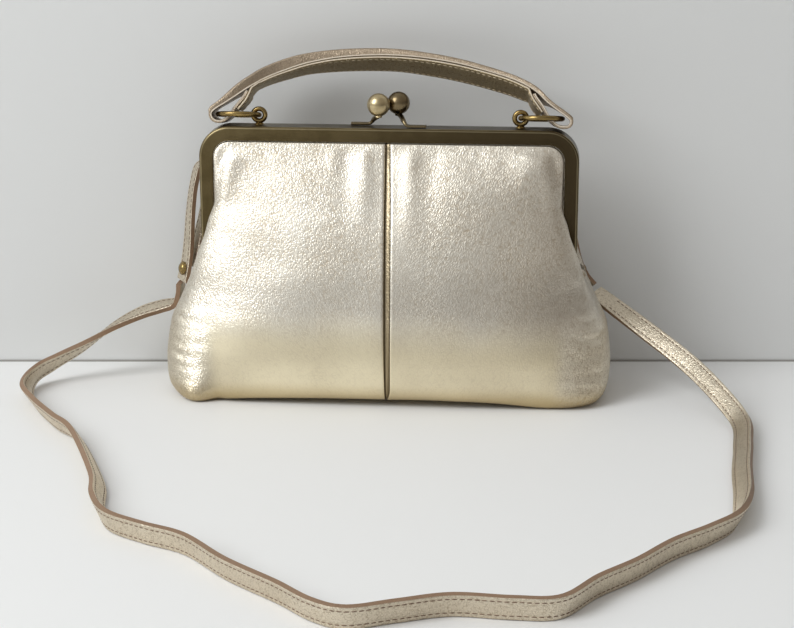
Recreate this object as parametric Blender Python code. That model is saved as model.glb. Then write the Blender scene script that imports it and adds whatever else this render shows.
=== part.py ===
"""Leather shoulder bag on a brass kiss-lock frame, with a short handle and a long strap.

X runs to the bag's right, Y away from its front, Z up. The origin is at the middle of the base.
"""

import math

import bmesh
import bpy
from mathutils import Vector

mm = 0.001

# Clearances
gap = 0.3 * mm
cut_overrun = 2 * mm

# Frame: two U-shaped channels, hinged near their lower ends
frame_width = 200 * mm
frame_top = 142 * mm
frame_depth = 7 * mm
frame_face = 7.5 * mm
frame_corner_radius = 16.5 * mm
frame_wall = 1 * mm
frame_edge_radius = 1.5 * mm
frame_corner_steps = 6
frame_edge_steps = 3
hinge_height = 72 * mm
ear_radius = 4 * mm
ear_thickness = 0.8 * mm
ear_reach = 7 * mm
ear_steps = 16
rivet_radius = 1.25 * mm
rivet_head_radius = 2.6 * mm
rivet_head_height = 0.9 * mm
rivet_sides = 12
filler_cord_radius = 1.05 * mm
filler_cord_sides = 6

# Leather body
leather = 1.2 * mm
lining = 0.5 * mm
base_half_width = 120 * mm
base_half_depth = 41 * mm
base_leather = 1.4 * mm
base_board_thickness = 1.5 * mm
seam_top_height = 60 * mm
tongue_depth = 3.6 * mm
lip_reach = 2.1 * mm
pleat_half_gap = 2.2 * mm
pleat_least_half_gap = 0.4 * mm
pleat_depth = 1.8 * mm
seam_step = 1.8 * mm
seam_lip = 4 * mm
lining_floor_inset = 6 * mm
lining_slack = 0.8 * mm
lining_rim_share = 0.85
lining_spine_share = 0.9
corner_ease = 2.8 * mm
# Shares by height above the floor: height of the frame's top, flare of the base beyond the frame's
# inside, depth of the base; and the roundness of the outline there
wall_shares = (
    (0.0, 0.466, 0.88, 3.4),
    (0.02, 0.722, 0.93, 3.4),
    (0.056, 0.936, 0.975, 3.3),
    (0.14, 1.0, 1.0, 3.2),
    (0.26, 0.893, 0.965, 3.0),
    (0.36, 0.68, 0.905, 2.9),
    (0.42, 0.543, 0.86, 2.8),
    (0.45, 0.487, 0.835, 2.8),
    (0.48, 0.441, 0.81, 2.8),
    (0.545, 0.308, 0.745, 2.8),
    (0.61, 0.171, 0.675, 2.8),
    (0.68, 0.043, 0.59, 2.8),
    (0.78, 0.0, 0.45, 2.8),
    (0.86, 0.0, 0.33, 2.8),
    (0.92, 0.0, 0.235, 2.8),
)
column_shares = (0.975, 0.92, 0.8, 0.62, 0.42, 0.2)

# Kiss-lock clasp
ball_radius = 6 * mm
ball_height = 154 * mm
ball_offset = 4.9 * mm
ball_crossing = 3.7 * mm
clasp_wire_radius = 1.3 * mm
clasp_arm_width = 3.4 * mm
clasp_arm_thickness = 1.4 * mm
clasp_arm_root = 20 * mm
clasp_arm_bend = 10 * mm

# Handle rings in their eyelets
eyelet_inset = 31 * mm
eyelet_y = 3.5 * mm
eyelet_outer_radius = 4.5 * mm
eyelet_wire_radius = 1.3 * mm
ring_outer_radius = 12.2 * mm
ring_wire_radius = 1.35 * mm
ring_tilt = math.radians(11)

# Handle: two leather layers, the outer one folded round the rings
handle_width = 15 * mm
handle_layer = 1.9 * mm
handle_lean = math.radians(33)
handle_lean_reach = 25 * mm
handle_rise = 32 * mm
# Padding that crowns the outer layer
handle_padding = 3.2 * mm
# Where the padding's height changes along the handle: share of the eyelet's distance, share of the padding
handle_padding_shares = (
    (-1.3, 0.3), (-1.22, 0.6), (-1.07, 1.1), (-0.96, 1.45), (-0.81, 1.6), (-0.65, 1.45), (-0.43, 1.2), (-0.15, 1.05),
    (0.0, 1.0), (0.43, 0.7), (0.8, 0.55), (1.09, 0.4), (1.23, 0.2))
# The padding fades where the leather turns steeply round a ring, and never ends in nothing
padding_least_share = 0.05
padding_steep_share = 0.1
padding_level_share = 0.6
# Section of the padded layer: shares of the half width, of the layer and of the padding
padded_shares = (
    (-1, -0.5, 0), (1, -0.5, 0), (1, 0.5, 0.2), (0.93, 0.5, 0.85), (0.6, 0.5, 1), (-0.6, 0.5, 1),
    (-0.93, 0.5, 0.85), (-1, 0.5, 0.2))
# The outer layer's fold round each ring, from its sewn end: distance beyond the eyelet and height
# over it, as shares of the ring's radius
handle_left_fold_shares = (
    (0.607, 0.672), (0.795, 0.492), (0.975, 0.262), (1.131, 0.041), (1.311, -0.156), (1.549, -0.287),
    (1.803, -0.27), (2.0, -0.131), (2.016, 0.082), (1.836, 0.287), (1.459, 0.525), (0.967, 0.852))
handle_right_fold_shares = (
    (0.607, 0.656), (0.787, 0.492), (0.967, 0.295), (1.131, 0.082), (1.311, -0.115), (1.549, -0.279),
    (1.852, -0.336), (2.107, -0.262), (2.148, -0.041), (1.885, 0.205), (1.475, 0.467), (0.934, 0.811))
# Its arch between the folds: shares of the eyelet's distance and of the handle's rise
handle_arch_shares = (
    (-1.075, 0.469), (-0.957, 0.631), (-0.812, 0.769), (-0.628, 0.894), (-0.349, 0.978), (-0.009, 1.0),
    (0.284, 0.938), (0.58, 0.812), (0.875, 0.612), (1.065, 0.431))
# How far the leather's width leans back: share of the eyelet's distance, and degrees
handle_lean_shares = (
    (-1.41, 8), (-1.28, 8), (-1.12, 12), (-0.87, 20), (-0.71, 23.5), (-0.42, 32), (-0.13, 36), (0.07, 37.5),
    (0.32, 41), (0.58, 42), (0.78, 42), (0.93, 41), (1.04, 38), (1.13, 30), (1.22, 14), (1.3, 9), (1.41, 9))
handle_under_overhang = 5.5 * mm

# Strap, its end loops and what they hang on
strap_width = 10 * mm
strap_thickness = 3 * mm
strap_lift = 0.2 * mm
strap_stations = 78
# A stretch whose level part is less than this share of it hangs steeply
steep_share = 0.6
loop_leather = 2.6 * mm
stud_z = 60.5 * mm
lug_plate_width = 6 * mm
lug_plate_height = 9 * mm
lug_thickness = 1.2 * mm
lug_tube_wall = 0.9 * mm
lug_inset = 5 * mm
lug_z = 126.8 * mm
strap_ring_wire_radius = 1.1 * mm
strap_ring_inner_width = 12 * mm
strap_ring_drop = 14.6 * mm
strap_ring_corner = 2.4 * mm
left_ring_angle = math.radians(30)
right_ring_angle = math.radians(2)
stud_radius = 3.6 * mm
stud_height = 2 * mm
stud_sides = 16

# The strap's middle line from the left end loop to the right one: x, y, z and the roll of its
# width away from upright, in degrees. It starts and ends where the lugs are this far out
strap_route_lug_x = 95 * mm
strap_route = (
    (-115.5, 12.0, 52.6, 90), (-116.0, 12.5, 47.0, 94), (-119.0, 13.0, 40.6, 102), (-126.5, 13.0, 38.4, 108),
    (-137.0, 10.0, 35.4, 104), (-151.0, 4.5, 29.0, 84), (-168.0, -2.5, 18.6, 50), (-181.5, -10.0, 11.9, 30),
    (-190.0, -19.0, 7.6, 8), (-189.5, -39.5, 5.2, -32), (-177.0, -65.5, 5.3, -30), (-160.5, -91.5, 5.4, -26),
    (-144.5, -113.0, 5.2, -32), (-120.0, -172.0, 5.1, -36), (-112.5, -201.5, 5.3, -30),
    (-102.5, -224.0, 5.4, -16), (-84.0, -237.5, 5.4, -12), (-63.5, -249.0, 5.4, -12), (-41.5, -274.0, 5.4, -12),
    (-17.5, -295.5, 5.4, -12), (-1.5, -311.5, 5.4, -12), (12.5, -317.5, 5.4, -12), (31.0, -310.0, 5.4, -12),
    (52.0, -302.0, 5.4, -12), (76.0, -303.0, 5.4, -10), (94.5, -300.5, 5.4, -10), (109.0, -279.0, 5.4, -10),
    (125.0, -260.0, 5.4, -10), (140.5, -237.5, 5.4, -10), (157.5, -219.0, 5.4, -12), (170.5, -199.5, 5.4, -24),
    (176.0, -168.5, 4.6, -50), (178.5, -131.5, 4.2, -56), (182.0, -95.5, 4.2, -57), (183.5, -60.0, 5.0, -56),
    (171.0, -34.0, 14.6, -50), (157.0, -13.0, 22.8, -47), (137.0, 6.0, 33.5, -50), (118.5, 19.5, 43.9, -62),
    (110.6, 24.2, 48.8, -70),
)
# End loops: middle line from the stud up the outer leg, over the ring and down the inner leg, with X
# counted from the lug
left_loop_route = (
    (-20.2, 12.0, 53.5), (-19.8, 12.0, 60.0), (-19.4, 12.1, 67.0), (-18.2, 13.4, 78.0),
    (-16.2, 15.0, 91.0), (-13.8, 16.4, 103.0), (-11.9, 16.9, 110.0), (-10.6, 17.0, 114.2),
    (-9.2, 17.0, 116.3), (-7.3, 17.0, 117.1), (-5.4, 17.0, 116.2), (-4.3, 17.0, 113.4),
    (-4.7, 16.8, 107.0), (-7.2, 15.6, 95.0), (-11.2, 14.2, 80.0), (-15.0, 13.0, 68.0), (-16.6, 12.4, 58.0),
)
right_loop_route = (
    (10.4, 26.0, 53.0), (9.8, 25.6, 59.0), (9.2, 25.4, 66.0), (7.2, 24.4, 78.0),
    (5.6, 21.6, 90.0), (4.6, 18.8, 101.0), (4.0, 17.3, 108.0), (3.5, 17.0, 112.4),
    (2.4, 17.0, 114.5), (0.5, 17.0, 115.3), (-1.4, 17.0, 114.4), (-2.5, 17.0, 111.6),
    (-2.1, 17.5, 105.0), (-0.2, 19.6, 94.0), (3.3, 22.6, 80.0), (6.0, 23.6, 68.0), (7.2, 23.8, 57.0),
)
# Which way each loop's width turns at its lower end
left_loop_width = (-0.35, 0.93, 0)
right_loop_width = (-0.75, 0.66, 0)


def material(name, color, roughness, metallic):
    """One Principled material."""
    mat = bpy.data.materials.get(name) or bpy.data.materials.new(name)
    mat.use_nodes = True
    shader = mat.node_tree.nodes["Principled BSDF"]
    shader.inputs["Base Color"].default_value = (*color, 1)
    shader.inputs["Roughness"].default_value = roughness
    shader.inputs["Metallic"].default_value = metallic
    return mat


def brass():
    return material("antique_brass", (0.30, 0.22, 0.10), 0.38, 1)


def gold_leather():
    return material("gold_leather", (0.78, 0.69, 0.50), 0.42, 0.7)


def lining_cloth():
    return material("lining_cloth", (0.55, 0.47, 0.36), 0.85, 0)


def board():
    return material("stiff_board", (0.45, 0.36, 0.24), 0.9, 0)


def paper_cord():
    return material("paper_cord", (0.62, 0.52, 0.36), 0.95, 0)


def add_mesh(name, vertices, faces, mat):
    """A mesh object with its faces turned outwards."""
    mesh = bpy.data.meshes.new(name)
    mesh.from_pydata([tuple(v) for v in vertices], [], faces)
    work = bmesh.new()
    work.from_mesh(mesh)
    bmesh.ops.recalc_face_normals(work, faces=work.faces)
    work.to_mesh(mesh)
    work.free()
    mesh.shade_smooth()
    mesh.set_sharp_from_angle(angle=math.radians(35))
    obj = bpy.data.objects.new(name, mesh)
    bpy.context.scene.collection.objects.link(obj)
    mesh.materials.append(mat)
    return obj


def loft(name, rings, mat):
    """A closed body through rings of equally many points, with flat ends."""
    count = len(rings[0])
    vertices = [point for ring in rings for point in ring]
    faces = []
    for i in range(len(rings) - 1):
        for j in range(count):
            k = (j + 1) % count
            faces.append((i * count + j, i * count + k, (i + 1) * count + k, (i + 1) * count + j))
    faces.append(tuple(range(count)))
    faces.append(tuple((len(rings) - 1) * count + j for j in range(count)))
    return add_mesh(name, vertices, faces, mat)


def torus(name, centre, major, minor, tilt, mat, major_steps=24, minor_steps=6, upright=False):
    """A ring in the XY plane turned by tilt about X, or in the XZ plane when upright."""
    vertices = []
    faces = []
    for i in range(major_steps):
        a = 2 * math.pi * i / major_steps
        for j in range(minor_steps):
            b = 2 * math.pi * j / minor_steps
            reach = major + minor * math.cos(b)
            flat = Vector((reach * math.cos(a), reach * math.sin(a), minor * math.sin(b)))
            if upright:
                point = Vector((flat.x, flat.z, flat.y))
            else:
                point = Vector((
                    flat.x,
                    flat.y * math.cos(tilt) + flat.z * math.sin(tilt),
                    flat.z * math.cos(tilt) - flat.y * math.sin(tilt)))
            vertices.append(centre + point)
            k = (i + 1) % major_steps
            m = (j + 1) % minor_steps
            faces.append((i * minor_steps + j, k * minor_steps + j, k * minor_steps + m, i * minor_steps + m))
    return add_mesh(name, vertices, faces, mat)


def tube(name, points, radius, sides, mat):
    """A round tube along a list of points, with flat ends."""
    rings = []
    for i, point in enumerate(points):
        ahead = points[min(i + 1, len(points) - 1)] - points[max(i - 1, 0)]
        ahead.normalize()
        side = ahead.orthogonal().normalized() if i == 0 else side_hint - ahead * side_hint.dot(ahead)
        side.normalize()
        side_hint = side
        up = ahead.cross(side)
        rings.append([
            point + (side * math.cos(2 * math.pi * j / sides) + up * math.sin(2 * math.pi * j / sides)) * radius
            for j in range(sides)])
    return loft(name, rings, mat)


def band(name, points, widths, width, thickness, mat):
    """A flat band along points, whose width lies along the given directions."""
    rings = []
    for i, point in enumerate(points):
        ahead = (points[min(i + 1, len(points) - 1)] - points[max(i - 1, 0)]).normalized()
        across = (widths[i] - ahead * widths[i].dot(ahead)).normalized()
        through = ahead.cross(across)
        half = across * width / 2
        skin = through * thickness / 2
        rings.append([point - half - skin, point + half - skin, point + half + skin, point - half + skin])
    return loft(name, rings, mat)


def smooth_steps(points, steps):
    """Points on a smooth curve through the given ones, several for each stretch."""
    ends = [points[0] * 2 - points[1], *points, points[-1] * 2 - points[-2]]
    fine = []
    for i in range(1, len(ends) - 2):
        p0, p1, p2, p3 = ends[i - 1:i + 3]
        for k in range(steps):
            t = k / steps
            fine.append(
                (p1 * 2 + (p2 - p0) * t + (p0 * 2 - p1 * 5 + p2 * 4 - p3) * t * t
                 + (p1 * 3 - p0 - p2 * 3 + p3) * t * t * t) / 2)
    fine.append(points[-1])
    return fine


def smooth_line(points, count):
    """Evenly spaced points on a smooth curve through the given ones (of any dimension)."""
    fine = smooth_steps(points, 12)
    lengths = [0]
    for a, b in zip(fine, fine[1:]):
        lengths.append(lengths[-1] + (Vector(b[:3]) - Vector(a[:3])).length)
    result = []
    spot = 0
    for i in range(count):
        want = lengths[-1] * i / (count - 1)
        while spot < len(fine) - 2 and lengths[spot + 1] < want:
            spot += 1
        share = (want - lengths[spot]) / (lengths[spot + 1] - lengths[spot])
        result.append(fine[spot].lerp(fine[spot + 1], min(max(share, 0), 1)))
    return result


def union(obj, tool):
    """Joins tool to obj and removes tool."""
    modifier = obj.modifiers.new("join", "BOOLEAN")
    modifier.operation = "UNION"
    modifier.object = tool
    apply_modifiers(obj)
    bpy.data.objects.remove(tool)


def cut(obj, tool):
    """Cuts tool out of obj and removes tool."""
    modifier = obj.modifiers.new("cut", "BOOLEAN")
    modifier.operation = "DIFFERENCE"
    modifier.object = tool
    apply_modifiers(obj)
    bpy.data.objects.remove(tool)


def apply_modifiers(obj):
    """Replaces the object's mesh with its evaluated one."""
    graph = bpy.context.evaluated_depsgraph_get()
    mesh = bpy.data.meshes.new_from_object(obj.evaluated_get(graph))
    obj.modifiers.clear()
    obj.data = mesh


def turned(name, axis_point, profile, sides, mat):
    """A solid turned about an X line through axis_point; profile holds (x, radius) pairs."""
    rings = []
    for x, radius in profile:
        rings.append([
            Vector((x, axis_point.y + radius * math.cos(2 * math.pi * j / sides),
                    axis_point.z + radius * math.sin(2 * math.pi * j / sides)))
            for j in range(sides)])
    return loft(name, rings, mat)


def frame_line(inset, foot):
    """The frame's U at an inset from its outside: points in the XZ plane and inward directions."""
    half = frame_width / 2
    radius = frame_corner_radius
    line = [(Vector((-half, foot)), Vector((1, 0)))]
    for side in (-1, 1):
        centre = Vector((side * (half - radius), frame_top - radius))
        for i in range(frame_corner_steps + 1):
            turn = math.pi / 2 * i / frame_corner_steps
            out = Vector((-math.cos(turn), math.sin(turn))) if side < 0 else Vector((math.sin(turn), math.cos(turn)))
            line.append((centre + out * radius, -out))
    line.append((Vector((half, foot)), Vector((-1, 0))))
    return [(point + inward * inset, inward) for point, inward in line]


def leg_foot():
    """Lower end of the frame's channels, clear of the hinge ears that pass them."""
    return hinge_height + ear_radius + 3 * gap


def frame_half(name, facing):
    """One U-shaped channel with its two hinge ears; facing is -1 for the front half."""
    edge = frame_edge_radius
    profile = [(0, gap / 2)]
    for i in range(frame_edge_steps + 1):
        turn = math.pi / 2 * i / frame_edge_steps
        profile.append((edge - edge * math.cos(turn), frame_depth - edge + edge * math.sin(turn)))
    profile += [
        (frame_face, frame_depth),
        (frame_face, frame_depth - frame_wall),
        (frame_wall, frame_depth - frame_wall),
        (frame_wall, gap / 2 + frame_wall),
        (frame_face, gap / 2 + frame_wall),
        (frame_face, gap / 2),
    ]
    rings = [
        [Vector((point.x + inward.x * r, facing * depth, point.y + inward.y * r)) for r, depth in profile]
        for point, inward in frame_line(0, leg_foot())]
    frame = loft(name, rings, brass())
    for side in (-1, 1):
        union(frame, hinge_ear(side, facing))
    return frame


def ear_span(facing):
    """Distances from the middle to an ear's inner and outer face: the front ear is outermost."""
    outer = frame_width / 2 - gap
    if facing > 0:
        outer -= ear_thickness + gap
    return outer - ear_thickness, outer


def hinge_ear(side, facing):
    """A flat ear round the hinge axis, with its rivet hole, reaching up into the channel."""
    inner, outer = ear_span(facing)
    foot = leg_foot()
    outline = [(facing * ear_radius, 0)]
    for i in range(1, ear_steps + 1):
        turn = 1.5 * math.pi * i / ear_steps
        outline.append((facing * ear_radius * math.cos(turn), -ear_radius * math.sin(turn)))
    outline += [
        (facing * 2 * gap, foot - hinge_height + ear_reach),
        (facing * (frame_depth - 2 * gap), foot - hinge_height + ear_reach),
        (facing * (frame_depth - 2 * gap), ear_radius),
    ]
    rings = [[Vector((side * x, y, hinge_height + z)) for y, z in outline] for x in (inner, outer)]
    ear = loft("ear", rings, brass())
    hole = rivet_radius + gap
    drill = turned(
        "drill", Vector((0, 0, hinge_height)),
        [(side * (inner - cut_overrun), hole), (side * (outer + cut_overrun), hole)], rivet_sides, brass())
    cut(ear, drill)
    return ear


def hinge_rivet(name, side):
    """A rivet through both ears, with a head on each end."""
    inner = ear_span(1)[0] - gap
    outer = ear_span(-1)[1] + gap
    profile = [
        (inner - rivet_head_height, rivet_head_radius / 2), (inner - rivet_head_height / 2, rivet_head_radius),
        (inner, rivet_head_radius), (inner, rivet_radius), (outer, rivet_radius), (outer, rivet_head_radius),
        (outer + rivet_head_height / 2, rivet_head_radius), (outer + rivet_head_height, rivet_head_radius / 2)]
    turned(name, Vector((0, 0, hinge_height)), [(side * x, r) for x, r in profile], rivet_sides, brass())


def tongue_y():
    """Depth of the leather's outer face inside the channel."""
    return frame_depth - frame_wall - gap


def filler_cord(name, facing):
    """The paper cord that wedges leather and lining in the channel."""
    depth = tongue_y() - leather - lining - 2 * gap - filler_cord_radius
    inset = frame_face - tongue_depth + filler_cord_radius
    line = frame_line(inset, leg_foot() + gap)
    points = [Vector((p.x, facing * depth, p.y)) for p, inward in line]
    tube(name, points, filler_cord_radius, filler_cord_sides, paper_cord())


def inside_corner(x, z, inset):
    """Keeps a point of the body inside the frame's rounded upper corners at an inset."""
    centre_x = frame_width / 2 - frame_corner_radius
    centre_z = frame_top - frame_corner_radius
    out = Vector((abs(x) - centre_x, z - centre_z))
    radius = frame_corner_radius - inset
    if out.x <= 0 or out.y <= 0 or out.length <= radius:
        return x, z
    out = out.normalized() * radius
    return math.copysign(centre_x + out.x, x), centre_z + out.y


def wall_half_width(flare_share):
    """Half width of the body: the frame's inside and a share of the base's flare beyond it."""
    inside = frame_width / 2 - frame_face - 2 * gap
    return inside + flare_share * (base_half_width - inside)


def wall_row(z, half_width, half_depth, power, shares, pleated):
    """Points across one height of a panel, as (x, depth, z), from the left edge to the right."""
    channel = min(max((z - seam_top_height) / (ear_clear_height() - seam_top_height), 0), 1)
    mouth = frame_face + gap
    half = frame_width / 2
    seam = [(half_width, gap / 2), (half_width - gap / 3, seam_step), (half_width - gap, seam_lip)]
    held = [
        (half - mouth + tongue_depth, tongue_y()),
        (half - mouth, tongue_y()),
        (half - mouth - gap, tongue_y() + lip_reach)]
    edge = [
        (sx + (hx - sx) * channel, sd + (hd - sd) * channel)
        for (sx, sd), (hx, hd) in zip(seam, held)]
    start = held[2][1] * channel
    row = list(edge)
    for share in shares:
        depth = start + (half_depth - start) * (1 - share ** power) ** (1 / power)
        row.append((half_width * share, depth))
    if pleated:
        row.append((2 * pleat_half_gap, half_depth))
        open_share = math.sin(math.pi * min(max(z / frame_top, 0), 1)) ** 0.7
        half_gap = pleat_least_half_gap + (pleat_half_gap - pleat_least_half_gap) * open_share
        sunk = pleat_depth * open_share
        row.append((half_gap, half_depth))
        row.append((half_gap * 0.6, half_depth - sunk))
    row = [(-x, d) for x, d in row] + [(x, d) for x, d in reversed(row)]
    levels = (mouth - tongue_depth, mouth, mouth + gap)
    points = []
    for i, (x, d) in enumerate(row):
        from_end = min(i, len(row) - 1 - i)
        inset = levels[from_end] if from_end < 3 else levels[2] + corner_ease
        px, pz = inside_corner(x, z, inset)
        points.append(Vector((px, d, pz)))
    return points


def ear_clear_height():
    """Height at which the panels' edges have come inside the frame, below the hinge ears."""
    return hinge_height - ear_radius


def top_row(level, shares, pleated):
    """The rows at the frame's top bar: 0 lip, 1 mouth, 2 tongue."""
    mouth = frame_face + gap
    insets = (mouth + gap, mouth, mouth - tongue_depth)
    depths = (tongue_y() + lip_reach, tongue_y(), tongue_y())
    z = frame_top - insets[level]
    half = frame_width / 2
    inner = half - mouth - gap
    row = [half - mouth + tongue_depth, half - mouth, inner]
    row += [inner * share for share in shares]
    if pleated:
        row += [2 * pleat_half_gap, pleat_least_half_gap, pleat_least_half_gap * 0.6]
    row = [-x for x in row] + list(reversed(row))
    points = []
    for i, x in enumerate(row):
        from_end = min(i, len(row) - 1 - i)
        column_level = (2, 1, 0)[from_end] if from_end < 3 else 0
        strongest = max(column_level, level)
        px, pz = inside_corner(x, z, insets[strongest])
        points.append(Vector((px, depths[strongest], pz)))
    return points


def wall_grid(shares, pleated):
    """The outer face of one panel: rows from the floor to inside the frame's top bar."""
    rows = []
    for height_share, flare_share, depth_share, power in wall_shares:
        rows.append(wall_row(
            height_share * frame_top, wall_half_width(flare_share), depth_share * base_half_depth, power,
            shares, pleated))
    rows += [top_row(level, shares, pleated) for level in range(3)]
    return rows


def grid_normals(grid):
    """Outward directions of a grid of (x, depth, z) points."""
    rows = len(grid)
    columns = len(grid[0])
    normals = []
    for i in range(rows):
        line = []
        for j in range(columns):
            along = grid[i][min(j + 1, columns - 1)] - grid[i][max(j - 1, 0)]
            upward = grid[min(i + 1, rows - 1)][j] - grid[max(i - 1, 0)][j]
            line.append(upward.cross(along).normalized())
        normals.append(line)
    return normals


def held_share(i, j, rows, columns):
    """How far a grid point's face turns towards the frame's rim: none inside the channel."""
    levels = (0.0, 0.7, 0.75)
    from_side = min(j, columns - 1 - j)
    from_top = rows - 1 - i
    nearest = min(from_side, from_top)
    return levels[nearest] if nearest < len(levels) else None


def pushed_in(grid, distance):
    """The grid moved inwards by a distance."""
    normals = grid_normals(grid)
    centre = Vector((frame_width / 2 - frame_corner_radius, 0, frame_top - frame_corner_radius))
    for i, row in enumerate(grid):
        for j, point in enumerate(row):
            turned_share = held_share(i, j, len(grid), len(row))
            if turned_share is None or point.z < ear_clear_height():
                continue
            out = Vector((max(abs(point.x) - centre.x, 0), 0, max(point.z - centre.z, 0)))
            out.x = math.copysign(out.x, point.x)
            normals[i][j] = (
                out.normalized() * turned_share + Vector((0, 1, 0)) * math.sqrt(1 - turned_share ** 2))
    return [
        [point - normal * distance for point, normal in zip(row, line)]
        for row, line in zip(grid, normals)]


def sheet_solid(name, outer, inner, facing, mat):
    """A closed sheet between two grids."""
    rows = len(outer)
    columns = len(outer[0])
    size = rows * columns
    flat = [p for row in outer for p in row] + [p for row in inner for p in row]
    vertices = [Vector((p.x, facing * max(p.y, gap / 2), p.z)) for p in flat]
    faces = []
    for i in range(rows - 1):
        for j in range(columns - 1):
            a, b = i * columns + j, i * columns + j + 1
            c, d = b + columns, a + columns
            halves = ((a, b, c), (a, c, d)) if 2 * j < columns - 1 else ((a, b, d), (b, c, d))
            for half in halves:
                faces.append(half)
                faces.append(tuple(size + q for q in reversed(half)))
    border = [j for j in range(columns)]
    border += [i * columns + columns - 1 for i in range(1, rows)]
    border += [(rows - 1) * columns + j for j in range(columns - 2, -1, -1)]
    border += [i * columns for i in range(rows - 2, 0, -1)]
    for a, b in zip(border, border[1:] + border[:1]):
        faces.append((a, size + a, size + b, b))
    return add_mesh(name, vertices, faces, mat)


def panel(name, facing):
    """A leather panel with its inverted box pleat, from the base up into the frame's channel."""
    outer = wall_grid(column_shares, True)
    sheet_solid(name, outer, pushed_in(outer, leather), facing, gold_leather())


def lining_sheet(name, facing):
    """A lining: a floor over the base board, and a wall behind the leather."""
    wall = pushed_in(wall_grid(column_shares, False), leather + gap)
    middle = len(wall[0]) // 2
    for row in wall[:-3]:
        for j in (middle - 1, middle):
            row[j].y -= pleat_depth
    for point in wall[-4][3:-3]:
        point.y -= lining_slack
    wall = wall[2:]
    floor_z = base_leather + base_board_thickness + 3 * gap
    narrow = 1 - lining_floor_inset / base_half_width
    rim = [Vector((p.x * narrow, p.y * lining_rim_share + gap, floor_z)) for p in wall[0]]
    spine = [Vector((p.x * lining_spine_share, gap / 2, floor_z)) for p in rim]
    outer = [spine, rim, *wall]
    sheet_solid(name, outer, pushed_in(outer, lining), facing, lining_cloth())


def base_outline(inset):
    """Rounded oblong inside the panels' lower edge."""
    height_share, flare_share, depth_share, power = wall_shares[0]
    half_width = wall_half_width(flare_share) - inset
    half_depth = depth_share * base_half_depth - inset
    outline = []
    corner_steps = 8
    for quarter in range(4):
        for i in range(corner_steps):
            turn = math.pi / 2 * (quarter + i / corner_steps)
            c = math.cos(turn)
            s = math.sin(turn)
            outline.append((
                math.copysign(abs(c) ** (2 / power), c) * half_width,
                math.copysign(abs(s) ** (2 / power), s) * half_depth))
    return outline


def base_plate(name, inset, low, high, mat):
    rings = [[Vector((x, y, z)) for x, y in base_outline(inset)] for z in (low, high)]
    loft(name, rings, mat)


def clasp(side):
    """One half of the kiss lock: a sprung arm soldered to the frame, and its ball.

    The left ball stands in front and its arm is on the back half of the frame, and so in turn.
    """
    word = "left" if side < 0 else "right"
    arm_y = -side * frame_depth / 2
    ball = Vector((side * ball_offset, side * ball_crossing, ball_height))
    foot = frame_top + gap + clasp_arm_thickness / 2
    neck = ball.z - ball_radius - gap
    route = [
        Vector((side * clasp_arm_root, arm_y, foot)),
        Vector((side * (clasp_arm_root + clasp_arm_bend) / 2, arm_y, foot)),
        Vector((side * clasp_arm_bend, arm_y, foot)),
        Vector((side * (clasp_arm_bend + ball_offset) / 2, (arm_y + ball.y) / 2, (foot + neck) / 2)),
        Vector((ball.x, ball.y, neck)),
    ]
    rings = []
    for i, point in enumerate(route):
        ahead = (route[min(i + 1, 4)] - route[max(i - 1, 0)]).normalized()
        if i == 4:
            ahead = Vector((0, 0, 1))
        across = Vector((0, 1, 0))
        across = (across - ahead * across.dot(ahead)).normalized()
        through = ahead.cross(across)
        half = clasp_arm_width / 2 if i < 3 else clasp_wire_radius
        skin = clasp_arm_thickness / 2 if i < 3 else clasp_wire_radius
        rings.append([
            point + across * half * math.cos(math.pi * (j + 0.5) / 4) / math.cos(math.pi / 8)
            + through * skin * math.sin(math.pi * (j + 0.5) / 4) / math.cos(math.pi / 8)
            for j in range(8)])
    loft("clasp_arm_" + word, rings, brass())
    work = bmesh.new()
    bmesh.ops.create_uvsphere(work, u_segments=14, v_segments=8, radius=ball_radius)
    bmesh.ops.translate(work, verts=work.verts, vec=ball)
    mesh = bpy.data.meshes.new("clasp_ball_" + word)
    work.to_mesh(mesh)
    work.free()
    mesh.shade_smooth()
    mesh.materials.append(brass())
    obj = bpy.data.objects.new("clasp_ball_" + word, mesh)
    bpy.context.scene.collection.objects.link(obj)


def eyelet_x():
    return frame_width / 2 - eyelet_inset


def lug_x():
    return frame_width / 2 - lug_inset


def eyelet_height():
    return frame_top + gap + eyelet_outer_radius


def ring_radius():
    return ring_outer_radius - ring_wire_radius


def handle_ring(side):
    """An eyelet on the back half of the frame, and the ring that hangs in it."""
    word = "left" if side < 0 else "right"
    seat = Vector((side * eyelet_x(), eyelet_y, eyelet_height()))
    torus("handle_eyelet_" + word, seat, eyelet_outer_radius - eyelet_wire_radius, eyelet_wire_radius, 0,
          brass(), 16, 6, upright=True)
    centre = seat + Vector((side * ring_radius(), 0, 0))
    torus("handle_ring_" + word, centre, ring_radius(), ring_wire_radius, ring_tilt, brass())


def handle_lean_at(height):
    """Lean of the band: the rings' tilt at its ends, growing to the arch's own."""
    share = min(max(height / handle_lean_reach, 0), 1)
    return ring_tilt + (handle_lean - ring_tilt) * share * share * (3 - 2 * share)


def between(table, at):
    """A value from a table of (place, value), straight between its rows."""
    if at <= table[0][0]:
        return table[0][1]
    for (low, first), (high, second) in zip(table, table[1:]):
        if at <= high:
            return first + (second - first) * (at - low) / (high - low)
    return table[-1][1]


def handle_points(path):
    """Places and width directions of the band along a path of (x, height)."""
    points = []
    widths = []
    for x, h in path:
        lean = handle_lean_at(h)
        points.append(Vector((x, eyelet_y + h * math.sin(lean), eyelet_height() + h * math.cos(lean))))
        turn = math.radians(between(handle_lean_shares, x / eyelet_x()))
        widths.append(Vector((0, math.cos(turn), -math.sin(turn))))
    return points, widths


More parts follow.
